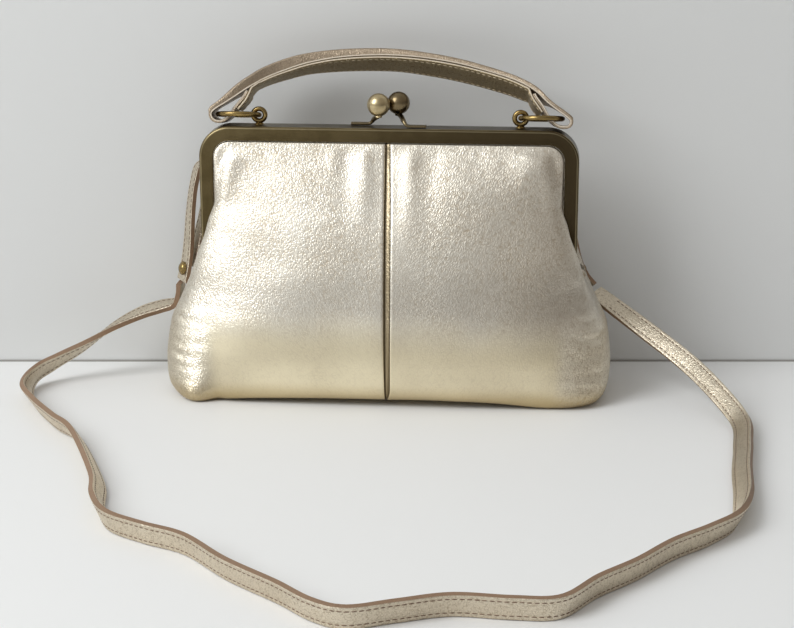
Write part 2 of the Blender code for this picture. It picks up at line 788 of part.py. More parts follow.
def padding_at(points, i):
    """Height of the padding at one point of the outer layer."""
    ahead = (points[min(i + 1, len(points) - 1)] - points[max(i - 1, 0)]).normalized()
    level = min(max((ahead.x - padding_steep_share) / (padding_level_share - padding_steep_share), 0), 1)
    share = between(handle_padding_shares, points[i].x / eyelet_x()) * level
    return handle_padding * (share + padding_least_share)


def padded_layer(name, points, widths, mat):
    """The outer layer, with its padding on the side away from the rings."""
    rings = []
    for i, point in enumerate(points):
        ahead = (points[min(i + 1, len(points) - 1)] - points[max(i - 1, 0)]).normalized()
        across = (widths[i] - ahead * widths[i].dot(ahead)).normalized()
        through = ahead.cross(across)
        padding = padding_at(points, i)
        rings.append([
            point + across * handle_width / 2 * a + through * (handle_layer * t + padding * p)
            for a, t, p in padded_shares])
    return loft(name, rings, mat)


def handle():
    """The outer layer, folded round both rings, and the layer sewn under its arch."""
    path = [Vector((-eyelet_x() - x * ring_outer_radius, h * ring_outer_radius)) for x, h in handle_left_fold_shares]
    path += [Vector((x * eyelet_x(), h * handle_rise)) for x, h in handle_arch_shares]
    path += [
        Vector((eyelet_x() + x * ring_outer_radius, h * ring_outer_radius))
        for x, h in reversed(handle_right_fold_shares)]
    outer = [Vector(p[:2]) for p in smooth_line([p.to_3d() for p in path], 84)]
    points, widths = handle_points(outer)
    padded_layer("handle_outer_layer", points, widths, gold_leather())
    arch = []
    for i in range(1, len(outer) - 1):
        ahead = (outer[i + 1] - outer[i - 1]).normalized()
        below = Vector((ahead.y, -ahead.x))
        place = outer[i] + below * (handle_layer + gap)
        if abs(outer[i].x) < eyelet_x() + handle_under_overhang and ahead.x > 0:
            arch.append(place)
    points, widths = handle_points(arch[::2])
    band("handle_under_layer", points, widths, handle_width, handle_layer, gold_leather())


def strap_hanger(side):
    """The lug on the back half's rear face, and the D-ring that hangs in it."""
    word = "left" if side < 0 else "right"
    near = frame_depth + gap
    lug_inner = strap_ring_wire_radius + gap
    lug_outer = lug_inner + lug_tube_wall
    x = side * lug_x()
    start = near + lug_thickness + 2 * strap_ring_wire_radius + 2 * gap
    finish = start + strap_ring_inner_width - 2 * gap
    barrel_rings = []
    for y in (start, finish):
        barrel_rings.append([
            Vector((x + lug_outer * math.cos(math.pi * j / 8), y, lug_z + lug_outer * math.sin(math.pi * j / 8)))
            for j in range(16)])
    lug = loft("strap_lug_" + word, barrel_rings, brass())
    arm_low = lug_z + lug_inner + gap
    union(lug, block("arm", (x - lug_plate_width / 2, near, arm_low),
                     (x + lug_plate_width / 2, finish, arm_low + lug_thickness)))
    union(lug, block("plate", (x - lug_plate_width / 2, near, arm_low + lug_thickness - lug_plate_height),
                     (x + lug_plate_width / 2, near + lug_thickness, arm_low + lug_thickness)))
    bore_rings = []
    for y in (near + lug_thickness + gap, finish + cut_overrun):
        bore_rings.append([
            Vector((x + lug_inner * math.cos(math.pi * j / 8), y, lug_z + lug_inner * math.sin(math.pi * j / 8)))
            for j in range(16)])
    cut(lug, loft("bore", bore_rings, brass()))
    strap_ring(word, side, start - gap - strap_ring_wire_radius, finish + gap + strap_ring_wire_radius)


def strap_ring(word, side, near_leg, far_leg):
    """A D-ring: its straight bar lies along Y in the lug and its bow hangs below."""
    angle = left_ring_angle if side < 0 else right_ring_angle
    steps = 4
    turn = strap_ring_corner
    drop = strap_ring_drop
    outline = []
    for corner_y, corner_z, begin in (
            (near_leg + turn / 2, -turn / 2, 90), (near_leg + turn, -drop + turn, 180),
            (far_leg - turn, -drop + turn, 270), (far_leg - turn / 2, -turn / 2, 0)):
        radius = turn / 2 if corner_z == -turn / 2 else turn
        for i in range(steps + 1):
            a = math.radians(begin + 90 * i / steps)
            outline.append((corner_y + radius * math.cos(a), corner_z + radius * math.sin(a)))
    points = []
    for y, z in outline:
        points.append(Vector((
            side * (lug_x() - z * math.sin(angle)), y, lug_z + z * math.cos(angle))))
    count = len(points)
    vertices = []
    faces = []
    sides = 6
    swing_axis = Vector((side * math.cos(angle), 0, math.sin(angle)))
    for i, point in enumerate(points):
        ahead = (points[(i + 1) % count] - points[i - 1]).normalized()
        out = ahead.cross(swing_axis).normalized()
        for j in range(sides):
            a = 2 * math.pi * j / sides
            vertices.append(point + (out * math.cos(a) + swing_axis * math.sin(a)) * strap_ring_wire_radius)
            k = (i + 1) % count
            m = (j + 1) % sides
            faces.append((i * sides + j, k * sides + j, k * sides + m, i * sides + m))
    add_mesh("strap_ring_" + word, vertices, faces, brass())


def block(name, low, high):
    """An oblong between two corners."""
    rings = [[Vector((x, y, z)) for x, y in (
        (low[0], low[1]), (high[0], low[1]), (high[0], high[1]), (low[0], high[1]))] for z in (low[2], high[2])]
    return loft(name, rings, brass())


def strap_loop(word, route, foot_width, side):
    """The strap's folded end round its ring, and the domed stud that closes it."""
    lug = Vector((side * lug_x(), 0, 0))
    points = smooth_steps([Vector(p) * mm + lug for p in route], 2)
    lean_start = Vector(foot_width)
    widths = []
    for point in points:
        share = min(max((point.z - points[0].z) / (strap_width * 5), 0), 1)
        widths.append(lean_start.lerp(Vector((0, 1, 0)), share).normalized())
    band("strap_end_loop_" + word, points, widths, strap_width, loop_leather, gold_leather())
    here = min(range(len(points) // 2), key=lambda i: abs(points[i].z - stud_z))
    seat = points[here]
    ahead = (points[here + 1] - points[here - 1]).normalized()
    across = (widths[here] - ahead * widths[here].dot(ahead)).normalized()
    out = across.cross(ahead)
    if out.x * side < 0:
        out = -out
    rings = []
    profile = ((0, 1), (0.3, 0.95), (0.65, 0.72), (0.9, 0.4), (1, 0.12))
    for height_share, radius_share in profile:
        centre = seat + out * (loop_leather / 2 + 2 * gap + stud_height * height_share)
        rings.append([
            centre + (across * math.cos(2 * math.pi * j / stud_sides) + ahead * math.sin(2 * math.pi * j / stud_sides))
            * stud_radius * radius_share for j in range(stud_sides)])
    loft("strap_stud_" + word, rings, brass())


def shoulder_strap():
    """The long strap, standing on its edge on the table and rolling over near the bag."""
    route = [Vector((x, y, z, roll)) for x, y, z, roll in strap_route]
    line = smooth_line(route, strap_stations)
    points = [Vector((p.x, p.y, p.z)) * mm for p in line]
    for point, p in zip(points, line):
        spread = min(max(point.x / strap_route_lug_x, -1), 1)
        point.x += spread * (lug_x() - strap_route_lug_x)
        roll = math.radians(p.w)
        reach = (strap_width * abs(math.cos(roll)) + strap_thickness * abs(math.sin(roll))) / 2
        point.z = max(point.z, reach + strap_lift)
    widths = []
    headings = []
    for i in range(len(points)):
        ahead = (points[min(i + 1, len(points) - 1)] - points[max(i - 1, 0)]).normalized()
        headings.append(Vector((ahead.x, ahead.y, 0)))
    for i, p in enumerate(line):
        flat = headings[i]
        if flat.length < steep_share:
            flat = next(h for h in headings[i:] if h.length >= steep_share)
        flat = flat.normalized()
        level = Vector((-flat.y, flat.x, 0))
        roll = math.radians(p.w)
        widths.append(Vector((0, 0, 1)) * math.cos(roll) + level * math.sin(roll))
    band("shoulder_strap", points, widths, strap_width, strap_thickness, gold_leather())


def build():
    for obj in list(bpy.data.objects):
        bpy.data.objects.remove(obj)
    frame_half("front_frame", -1)
    frame_half("back_frame", 1)
    hinge_rivet("hinge_rivet_left", -1)
    hinge_rivet("hinge_rivet_right", 1)
    filler_cord("front_filler_cord", -1)
    filler_cord("back_filler_cord", 1)
    panel("front_panel", -1)
    panel("back_panel", 1)
    lining_sheet("front_lining", -1)
    lining_sheet("back_lining", 1)
    base_plate("base_panel", leather + 3 * gap, 0, base_leather, gold_leather())
    base_plate("base_board", leather + 6 * gap, base_leather + gap, base_leather + gap + base_board_thickness, board())
    for side in (-1, 1):
        clasp(side)
        handle_ring(side)
        strap_hanger(side)
    handle()
    strap_loop("left", left_loop_route, left_loop_width, -1)
    strap_loop("right", right_loop_route, right_loop_width, 1)
    shoulder_strap()


build()
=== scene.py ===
"""Gold leather shoulder bag with a brass kiss-lock frame, on a pale table before a pale wall.

Lengths are in metres. X runs to the bag's right, Y away from its front, Z up.
"""

import math

import bmesh
import bpy
import numpy as np
from mathutils import Matrix, Vector, noise


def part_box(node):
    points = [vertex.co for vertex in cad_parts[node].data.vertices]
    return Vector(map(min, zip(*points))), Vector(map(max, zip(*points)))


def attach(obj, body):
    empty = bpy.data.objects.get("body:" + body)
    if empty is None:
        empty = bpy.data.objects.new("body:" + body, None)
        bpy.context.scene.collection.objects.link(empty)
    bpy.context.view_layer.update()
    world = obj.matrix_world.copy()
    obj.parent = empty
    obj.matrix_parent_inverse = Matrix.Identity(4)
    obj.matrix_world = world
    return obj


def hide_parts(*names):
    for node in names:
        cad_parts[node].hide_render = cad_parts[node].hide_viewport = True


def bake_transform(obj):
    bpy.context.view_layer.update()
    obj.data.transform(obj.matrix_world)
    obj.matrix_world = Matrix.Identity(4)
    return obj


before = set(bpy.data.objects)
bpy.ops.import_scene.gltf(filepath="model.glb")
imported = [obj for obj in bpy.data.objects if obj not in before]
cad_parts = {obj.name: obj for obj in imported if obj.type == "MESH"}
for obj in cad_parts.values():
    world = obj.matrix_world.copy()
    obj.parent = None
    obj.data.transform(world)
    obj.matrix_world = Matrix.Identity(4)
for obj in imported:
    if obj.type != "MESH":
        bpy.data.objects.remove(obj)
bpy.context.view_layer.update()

mm = 0.001

# Camera: where it stands, how far it looks down and to the side
camera_place = (0.091417, -0.994417, 0.3088)
camera_pitch = math.radians(15.05)
camera_side = math.radians(5.0)
camera_lens = 87.14

# Surroundings
wall_distance = 0.0466
window_place = (-1.35, -1.15, 1.4)
window_size = (1.1, 1.4)
window_power = 31

# Frame
frame_half = 100 * mm
frame_top = 142 * mm
corner_radius = 16.5 * mm
frame_depth = 7 * mm
hinge_height = 72 * mm
channel_foot = 76.9 * mm
body_inset = 8.1 * mm
tongue_reach = 3.9 * mm
tongue_depth = 5.7 * mm
lip_depth = 7.8 * mm
ear_radius = 4 * mm
ball_radius = 6.0
# Clasp arm: half width and half thickness of its bar, and the radius of its round neck
arm_bar = (1.75 * mm, 0.72 * mm)
arm_neck = 1.3 * mm
ball_z = 154.0

# Leather body: height, half width, half depth and roundness of its outline
body_table = (
    (0.0, 109.0, 36.4, 5.0), (1.2, 111.8, 38.4, 5.0), (3.2, 114.6, 39.6, 4.9), (7.0, 117.0, 40.6, 4.7),
    (13.0, 118.4, 41.0, 4.2), (20.0, 118.9, 41.0, 3.7), (37.0, 117.0, 39.6, 3.1), (51.1, 111.0, 37.1, 2.9),
    (60.0, 107.0, 35.2, 2.8), (68.2, 104.2, 33.2, 2.8), (77.4, 100.5, 30.5, 2.8), (86.6, 97.0, 27.7, 2.8),
    (95.0, 94.4, 24.8, 2.8), (103.0, 91.9, 21.6, 2.8), (110.8, 89.6, 18.5, 2.8), (122.1, 91.9, 13.5, 2.8),
    (130.6, 91.9, 9.6, 2.8), (134.0, 91.9, 8.1, 2.8))
# Where the leather's belly folds over the frame's sides, by height: half width
belly_table = (
    (58.0, 107.9), (66.0, 104.9), (77.0, 100.7), (86.0, 97.4), (94.0, 95.2), (103.0, 91.9), (112.0, 89.5),
    (123.0, 86.0), (134.0, 83.0))
# How far the base bows up along its front, by x. That and the corners' jut fade with the height
bow_fade = 11.0
jut_fade = 17.0
base_half_length = 101.0
base_half_breadth = 33.0
base_roundness = 3.4
base_bow_table = (
    (-112, 0.0), (-100, 0.0), (-86, 0.8), (-70, 2.1), (-50, 2.9), (-25, 3.4), (0, 3.5), (20, 3.7), (40, 3.4),
    (58, 2.9), (72, 1.7), (86, 0.3), (98, 0.0), (112, 0.0))
leather_thickness = 1.0 * mm
lining_thickness = 0.5 * mm
lining_gap = 3.4
lining_lip = 5.2
seam_top = 60 * mm
channel_start = 68 * mm
# The back is flatter and rounder, with a plain seam in its middle
back_depth = 0.97
back_roundness = 3.3
back_seam = 1.9
# Pleat edges by height: left fold, right fold
pleat_table = (
    (0.0, 1.7, 2.1), (3.0, 1.6, 3.1), (8.0, 1.45, 4.0), (20.0, 1.2, 4.1), (50.0, 0.6, 3.9), (80.0, 0.1, 3.4),
    (105.0, -0.4, 2.8), (125.0, -0.8, 1.9), (134.0, -0.9, 1.5))

# Strap and end loops, in millimetres: x, y, z and the roll of the width away from upright, in degrees
strap_route = (
    (-115.5, 12.0, 52.6, 90), (-116.0, 12.5, 47.0, 94), (-119.0, 13.0, 40.6, 102), (-126.5, 13.0, 38.4, 108),
    (-137.0, 10.0, 35.4, 104), (-151.0, 4.5, 29.0, 84), (-168.0, -2.5, 18.6, 50), (-181.5, -10.0, 11.9, 30),
    (-190.0, -19.0, 7.6, 8), (-189.5, -39.5, 5.2, -32), (-177.0, -65.5, 5.3, -30), (-160.5, -91.5, 5.4, -26),
    (-144.5, -113.0, 5.2, -32), (-120.0, -172.0, 5.1, -36), (-112.5, -201.5, 5.3, -30),
    (-102.5, -224.0, 5.4, -16), (-84.0, -237.5, 5.4, -12), (-63.5, -249.0, 5.4, -12), (-41.5, -274.0, 5.4, -12),
    (-17.5, -295.5, 5.4, -12), (-1.5, -311.5, 5.4, -12), (12.5, -317.5, 5.4, -12), (31.0, -310.0, 5.4, -12),
    (52.0, -302.0, 5.4, -12), (76.0, -303.0, 5.4, -10), (94.5, -300.5, 5.4, -10), (109.0, -279.0, 5.4, -10),
    (125.0, -260.0, 5.4, -10), (140.5, -237.5, 5.4, -10), (157.5, -219.0, 5.4, -12), (170.5, -199.5, 5.4, -24),
    (176.0, -168.5, 4.6, -50), (178.5, -131.5, 4.2, -56), (182.0, -95.5, 4.2, -57), (183.5, -60.0, 5.0, -56),
    (171.0, -34.0, 14.6, -50), (157.0, -13.0, 22.8, -47), (137.0, 6.0, 33.5, -50), (118.5, 19.5, 43.9, -62),
    (110.6, 24.2, 48.8, -70))
strap_width = 10 * mm
strap_thickness = 3 * mm
strap_lift = 0.2 * mm
strap_stations = 420
# Stitches: pitch, length and width, and how far they lie from the middle and out of it
strap_stitch = (2.9 * mm, 2.2 * mm, 0.55 * mm)
strap_stitch_aside = 3.2 * mm
stitch_seat = 0.43
# Where the strap runs steeper than this, its width follows the next flatter stretch
least_level = 0.6
left_loop_route = (
    (-114.2, 12.0, 53.5), (-112.9, 12.0, 59.0), (-111.5, 12.2, 66.0), (-110.4, 13.4, 77.0),
    (-109.6, 15.0, 90.0), (-108.3, 16.4, 102.0), (-106.8, 16.9, 109.5), (-105.6, 17.0, 114.0),
    (-104.2, 17.0, 116.3), (-102.3, 17.0, 117.1), (-100.4, 17.0, 116.2), (-99.3, 17.0, 113.4),
    (-99.6, 16.8, 107.0), (-101.4, 15.6, 95.0), (-104.2, 14.4, 82.0), (-106.8, 13.4, 70.0), (-108.3, 12.8, 61.5))
right_loop_route = (
    (108.2, 25.2, 51.5), (103.4, 26.0, 57.5), (100.0, 26.4, 65.0), (97.8, 25.2, 77.0),
    (97.0, 22.2, 89.5), (97.2, 19.2, 100.5), (97.8, 17.4, 108.0), (98.0, 17.0, 112.4),
    (97.2, 17.0, 114.5), (95.5, 17.0, 115.3), (93.6, 17.0, 114.4), (92.5, 17.0, 111.6),
    (92.6, 17.6, 105.0), (92.8, 20.2, 94.0), (93.6, 23.0, 82.0), (95.2, 24.6, 70.0), (97.4, 25.2, 61.5))
left_loop_width = (-0.62, 0.78, 0)
right_loop_width = (-0.75, 0.66, 0)
left_loop_top = (-0.42, 0.9, 0)
right_loop_top = (0, 1, 0)
loop_thickness = 2.6 * mm
loop_stations = 90
stud_height = 60.5 * mm

# Handle: distance from the middle and height over the eyelets, in millimetres, from the left sewn end
handle_path = (
    (-75.6, 10.4), (-76.8, 8.3), (-78.7, 6.0), (-80.9, 3.2), (-82.8, 0.5), (-85.0, -1.9), (-87.9, -3.5),
    (-91.0, -3.4), (-93.3, -1.7), (-93.7, 1.0), (-91.3, 3.6), (-86.8, 6.4), (-80.8, 10.4), (-74.2, 15.0),
    (-66.0, 20.2),
    (-56.0, 24.6), (-43.3, 28.6), (-24.1, 31.3), (-0.6, 32.0), (19.6, 30.0), (40.0, 26.0), (60.4, 19.6),
    (73.5, 13.8), (80.4, 9.9), (87.0, 5.8), (92.0, 2.4), (95.2, -0.5), (94.7, -3.4), (91.6, -4.3), (87.9, -3.5),
    (85.0, -1.5), (82.8, 1.0), (80.8, 3.6), (78.6, 6.0), (76.8, 8.1), (75.6, 10.1))
handle_lean_table = (
    (-97, 8), (-88, 8), (-77, 12), (-60, 20), (-49, 23.5), (-29, 32), (-9, 36), (5, 37.5), (22, 41), (40, 42),
    (54, 42), (64, 41), (72, 38), (78, 30), (84, 14), (90, 9), (97, 9))
handle_padding_table = (
    (-90, 1.4), (-84, 2.9), (-79, 3.9), (-74, 4.3), (-66, 4.9), (-56, 5.1), (-45, 4.6), (-30, 3.9), (-10, 3.4),
    (0, 3.2), (30, 2.3), (55, 1.8), (75, 1.3), (85, 0.6))
handle_layer = 1.7 * mm
# Padding left in the folded ends, in millimetres
fold_padding = 0.12
# Ends of the under layer, beside the sewn ends of the padded one, and how far its middle reaches
under_layer_left = ((-79.3, 2.4), (-77.2, 4.9), (-75.3, 7.4), (-74.0, 10.0), (-72.9, 12.6))
under_layer_right = ((72.9, 12.2), (74.0, 9.7), (75.3, 7.2), (77.2, 4.7), (79.3, 2.2))
under_layer_reach = 71.5
handle_width = 15 * mm
handle_stations = 260
handle_stitch = (3.0 * mm, 2.2 * mm, 0.45 * mm)
handle_stitch_aside = 5.9 * mm
handle_stitch_depth = 0.72 * mm
under_layer = 1.3 * mm
under_layer_stations = 200
eyelet_x = 69 * mm
eyelet_y = 3.5 * mm
eyelet_z = 146.8 * mm
eyelet_radius = 3.2 * mm
eyelet_wire = 1.3 * mm
arch_lean = math.radians(33)
ring_tilt = math.radians(11)
ring_radius = 10.85 * mm
ring_wire = 1.35 * mm

# Strap rings: their seats in the lugs, in millimetres, and how far they hang out from upright
strap_lug_x = 95
strap_lug_z = 126.8
left_ring_swing = math.radians(30)
right_ring_swing = math.radians(2)

# Front leather, in millimetres: its full and hollow places (how far out, x and its width, height and its
# width), and how far its lower corners jut (how far, x and its width)
front_bumps = (
    (1.0, (75, 8), (122, 10)), (1.2, (103, 11), (7, 10)), (-1.0, (-62, 16), (6, 12)), (-0.9, (76, 14), (6, 12)))
front_juts = ((6.8, -101, 10), (-1.6, -88, 4.5), (0.8, 102, 11))


# ---- small tools ---------------------------------------------------------------------------------

def smooth_steps(points, steps):
    """Points on a smooth curve through the given ones, several for each stretch."""
    ends = [points[0] * 2 - points[1], *points, points[-1] * 2 - points[-2]]
    fine = []
    for p0, p1, p2, p3 in zip(ends, ends[1:], ends[2:], ends[3:]):
        for k in range(steps):
            t = k / steps
            fine.append((p1 * 2 + (p2 - p0) * t + (p0 * 2 - p1 * 5 + p2 * 4 - p3) * t * t
                         + (p1 * 3 - p0 - p2 * 3 + p3) * t * t * t) / 2)
    return fine + [points[-1]]


def evenly(points, count):
    """Evenly spaced points on a smooth curve; any values after x, y, z are carried along."""
    fine = smooth_steps([Vector(p) for p in points], 16)
    lengths = [0.0]
    for a, b in zip(fine, fine[1:]):
        lengths.append(lengths[-1] + (Vector(b[:3]) - Vector(a[:3])).length)
    result = []
    spot = 0
    for i in range(count):
        want = lengths[-1] * i / (count - 1)
        while spot < len(fine) - 2 and lengths[spot + 1] < want:
            spot += 1
        share = (want - lengths[spot]) / max(lengths[spot + 1] - lengths[spot], 1e-12)
        result.append(fine[spot].lerp(fine[spot + 1], min(max(share, 0), 1)))
    return result


def eased(table, at, column=1):
    """A smooth value from a table of rows whose first entry is the place."""
    xs = [row[0] for row in table]
    ys = [row[column] for row in table]
    if not xs[0] < at < xs[-1]:
        return ys[0] if at <= xs[0] else ys[-1]
    i = max(k for k in range(len(xs) - 1) if xs[k] <= at)
    rises = [(ys[k + 1] - ys[k]) / (xs[k + 1] - xs[k]) for k in range(len(xs) - 1)]
    slopes = []
    for k in (i, i + 1):
        a, b = rises[max(k - 1, 0)], rises[min(k, len(rises) - 1)]
        slopes.append(2 * a * b / (a + b) if a * b > 0 else 0.0)
    h = xs[i + 1] - xs[i]
    t = (at - xs[i]) / h
    return ((2 * t ** 3 - 3 * t ** 2 + 1) * ys[i] + (t ** 3 - 2 * t ** 2 + t) * h * slopes[0]
            + (3 * t ** 2 - 2 * t ** 3) * ys[i + 1] + (t ** 3 - t ** 2) * h * slopes[1])


def bell(x, centre, width):
    return math.exp(-((x - centre) / width) ** 2)


def ramp(x, low, high):
    t = min(max((x - low) / (high - low), 0.0), 1.0)
    return t * t * (3 - 2 * t)


def rounded(angle, power):
    """A place on a circle of radius 1, squared off by a power under 1."""
    c, s = math.cos(angle), math.sin(angle)
    return math.copysign(abs(c) ** power, c), math.copysign(abs(s) ** power, s)


def placed(name, data, place=(0, 0, 0), turn=(0, 0, 0)):
    """A scene object for a mesh, a lamp or the camera."""
    obj = bpy.data.objects.new(name, data)
    obj.location = place
    obj.rotation_euler = turn
    bpy.context.scene.collection.objects.link(obj)
    return obj


def final_mesh(obj):
    """The mesh that an object's modifiers make."""
    bpy.context.view_layer.update()
    return bpy.data.meshes.new_from_object(obj.evaluated_get(bpy.context.evaluated_depsgraph_get()))


def add_piece(name, shape, finishes, body=None, node=None, face_finish=None, uvs=None, angle=40,
              outward=True):
    """A mesh piece that rides on a body and stands for a node."""
    vertices, faces = shape
    mesh = bpy.data.meshes.new(name)
    mesh.from_pydata([tuple(v) for v in vertices], [], faces)
    for finish in finishes:
        mesh.materials.append(finish)
    if face_finish is not None:
        mesh.polygons.foreach_set("material_index", face_finish)
    if uvs is not None:
        layer = mesh.uv_layers.new(name="along")
        for loop in mesh.loops:
            layer.data[loop.index].uv = uvs[loop.vertex_index]
    if outward:
        work = bmesh.new()
        work.from_mesh(mesh)
        bmesh.ops.recalc_face_normals(work, faces=work.faces)
        work.to_mesh(mesh)
        work.free()
    mesh.shade_smooth()
    mesh.set_sharp_from_angle(angle=math.radians(angle))
    obj = placed(name, mesh)
    if node:
        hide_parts(node)
    if body:
        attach(obj, body)
    return obj


def add_brass(node, ending, shape, finish, body, angle=40, uvs=None):
    """A brass piece that stands for one node."""
    add_piece(f"{node}_{ending}", shape, [finish], body, node, angle=angle, uvs=uvs)


def strips(rows, size, closed=True, ring=False):
    """Faces between rows of points; closed joins a row's ends, ring the last row to the first."""
    faces = []
    for i in range(rows if ring else rows - 1):
        k = (i + 1) % rows
        for j in range(size if closed else size - 1):
            m = (j + 1) % size
            faces.append((i * size + j, i * size + m, k * size + m, k * size + j))
    return faces


def caps(rows, size):
    """The two end faces of a closed tube of rows."""
    return [tuple(range(size)), tuple(range((rows - 1) * size, rows * size))]


def heading(points, i, closed=False):
    """Direction of a line of points at one of them."""
    count = len(points)
    if closed:
        return (points[(i + 1) % count] - points[i - 1]).normalized()
    return (points[min(i + 1, count - 1)] - points[max(i - 1, 0)]).normalized()


def section_axes(points, widths, i, closed=False):
    """Directions across a band and through it at one of its points."""
    ahead = heading(points, i, closed)
    across = (widths[i] - ahead * widths[i].dot(ahead)).normalized()
    return across, ahead.cross(across)


def sweep(points, widths, outlines, closed=False):
    """A band or wire along points, with a section for each: its shape, its UVs and each face's side."""
    count = len(points)
    size = len(outlines[0])
    vertices = []
    uvs = []
    along = 0.0
    for i, point in enumerate(points):
        across, through = section_axes(points, widths, i, closed)
        if i:
            along += (point - points[i - 1]).length
        for j, (a, t) in enumerate(outlines[i]):
            vertices.append(point + across * a + through * t)
            uvs.append((along, j / size))
    faces = strips(count, size, ring=closed)
    sides = list(range(size)) * (len(faces) // size)
    if not closed:
        faces += caps(count, size)
        sides += [-1, -1]
    return (vertices, faces), uvs, sides


def stretches(whole, steps):
    """Even places from 0 to the whole, both included."""
    return [whole * i / steps for i in range(steps + 1)]


def rounded_oblong(width, thickness, radius, steps):
    """Outline of an oblong with rounded corners, from the lower right corner round."""
    outline = []
    for cx, cy, start in ((1, -1, -90), (1, 1, 0), (-1, 1, 90), (-1, -1, 180)):
        for turn in stretches(90, steps):
            a = math.radians(start + turn)
            outline.append((cx * (width / 2 - radius) + radius * math.cos(a),
                            cy * (thickness / 2 - radius) + radius * math.sin(a)))
    return outline


def wire(points, widths, radius, sides):
    """A closed wire through points."""
    section = [(radius * math.cos(2 * math.pi * j / sides), radius * math.sin(2 * math.pi * j / sides))
               for j in range(sides)]
    return sweep(points, widths, [section] * len(points), closed=True)[0]


def revolve(centre, axis, profile, sides):
    """A shape turned about an axis; profile holds (along, radius) in millimetres."""
    side = axis.orthogonal().normalized()
    up = axis.cross(side)
    vertices = []
    for along, radius in profile:
        for j in range(sides):
            a = 2 * math.pi * j / sides
            vertices.append(centre + (axis * along + (side * math.cos(a) + up * math.sin(a)) * radius) * mm)
    return vertices, strips(len(profile), sides) + caps(len(profile), sides)


def join_parts(*shapes):
    vertices = []
    faces = []
    for part_vertices, part_faces in shapes:
        start = len(vertices)
        vertices += part_vertices
        faces += [tuple(start + i for i in face) for face in part_faces]
    return vertices, faces


# ---- finishes ------------------------------------------------------------------------------------

class Nodes:
    """Short names for the nodes of one tree. What a node takes is a value or another node's socket."""

    def __init__(self, tree):
        self.tree = tree

    def feed(self, socket, value):
        if isinstance(value, bpy.types.NodeSocket):
            self.tree.links.new(value, socket)
        else:
            socket.default_value = (*value, 1) if socket.type == "RGBA" else value

    def step(self, kind, settings=None, **inputs):
        """A node with settings; its inputs go by name, or by number as i0, i1 and so on."""
        made = self.tree.nodes.new(kind)
        for key, value in (settings or {}).items():
            setattr(made, key, value)
        for key, value in inputs.items():
            numbered = key[0] == "i" and key[1:].isdigit()
            self.feed(made.inputs[int(key[1:]) if numbered else key.replace("_", " ")], value)
        return made

    def maths(self, operation, a, b=0.0, c=0.0):
        return self.step("ShaderNodeMath", {"operation": operation}, i0=a, i1=b, i2=c).outputs[0]

    def times(self, first, *others):
        for other in others:
            first = self.maths("MULTIPLY", first, other)
        return first

    def plus(self, a, factor, c):
        """a times a factor, plus c."""
        return self.maths("MULTIPLY_ADD", a, factor, c)

    def spread(self, value, low, high, out_low=0.0, out_high=1.0):
        """Eases from one share to the other while the value goes from low to high."""
        return self.step("ShaderNodeMapRange", {"interpolation_type": "SMOOTHSTEP"}, Value=value, From_Min=low,
                         From_Max=high, To_Min=out_low, To_Max=out_high).outputs["Result"]

    def between(self, value, rise_from, rise_to, fall_from, fall_to):
        """1 inside a stretch, easing to 0 on both sides."""
        return self.times(self.spread(value, rise_from, rise_to), self.spread(value, fall_from, fall_to, 1.0, 0.0))

    def mixed(self, share, a, b):
        return self.step("ShaderNodeMix", {"data_type": "RGBA"}, i0=share, i6=a, i7=b).outputs[2]

    def clouds(self, coords, scale, detail, roughness=0.5):
        return self.step("ShaderNodeTexNoise", Vector=coords, Scale=scale, Detail=detail,
                         Roughness=roughness).outputs["Fac"]

    def scaled(self, coords, **change):
        return self.step("ShaderNodeMapping", Vector=coords, **change).outputs[0]


class Finish(Nodes):
    """A material whose patterns read Object coordinates."""

    def __init__(self, name, color, roughness, metallic=0.0):
        self.mat = bpy.data.materials.new(name)
        self.mat.use_nodes = True
        super().__init__(self.mat.node_tree)
        self.shader = self.tree.nodes["Principled BSDF"]
        self.lay(Base_Color=color, Roughness=roughness, Metallic=metallic)
        self.coords = self.step("ShaderNodeTexCoord").outputs["Object"]
        place = self.step("ShaderNodeSeparateXYZ", Vector=self.coords)
        self.x, self.y, self.z = (place.outputs[axis] for axis in "XYZ")

    def lay(self, **inputs):
        for key, value in inputs.items():
            self.feed(self.shader.inputs[key.replace("_", " ")], value)
        return self.mat

    def bump(self, height, strength, distance):
        return self.step("ShaderNodeBump", Height=height, Strength=strength, Distance=distance).outputs[0]


def creased_grain(f, scale, angle, stretch):
    """Fine milled grain: its height, and how deep in a crease a spot lies."""
    drift = f.step("ShaderNodeTexNoise", Vector=f.coords, Scale=scale * 0.25, Detail=3.0).outputs["Color"]
    moved = f.step("ShaderNodeVectorMath", {"operation": "SCALE"}, i0=drift, Scale=2.6 / scale).outputs[0]
    coords = f.step("ShaderNodeVectorMath", {"operation": "ADD"}, i0=f.coords, i1=moved).outputs[0]
    coords = f.scaled(f.scaled(coords, Rotation=(0, angle, 0)), Scale=(1, 1, stretch))
    cells = f.step("ShaderNodeTexVoronoi", {"feature": "DISTANCE_TO_EDGE"}, Vector=coords, Scale=scale,
                   Randomness=1.0).outputs["Distance"]
    folds = f.clouds(coords, scale * 0.7, 3.0, 0.6)
    height = f.maths("ADD", f.spread(cells, 0.0, 0.3, 0.0, 0.6), folds)
    return height, f.times(f.spread(cells, 0.0, 0.2, 1.0, 0.0), f.spread(folds, 0.35, 0.62, 1.0, 0.1))


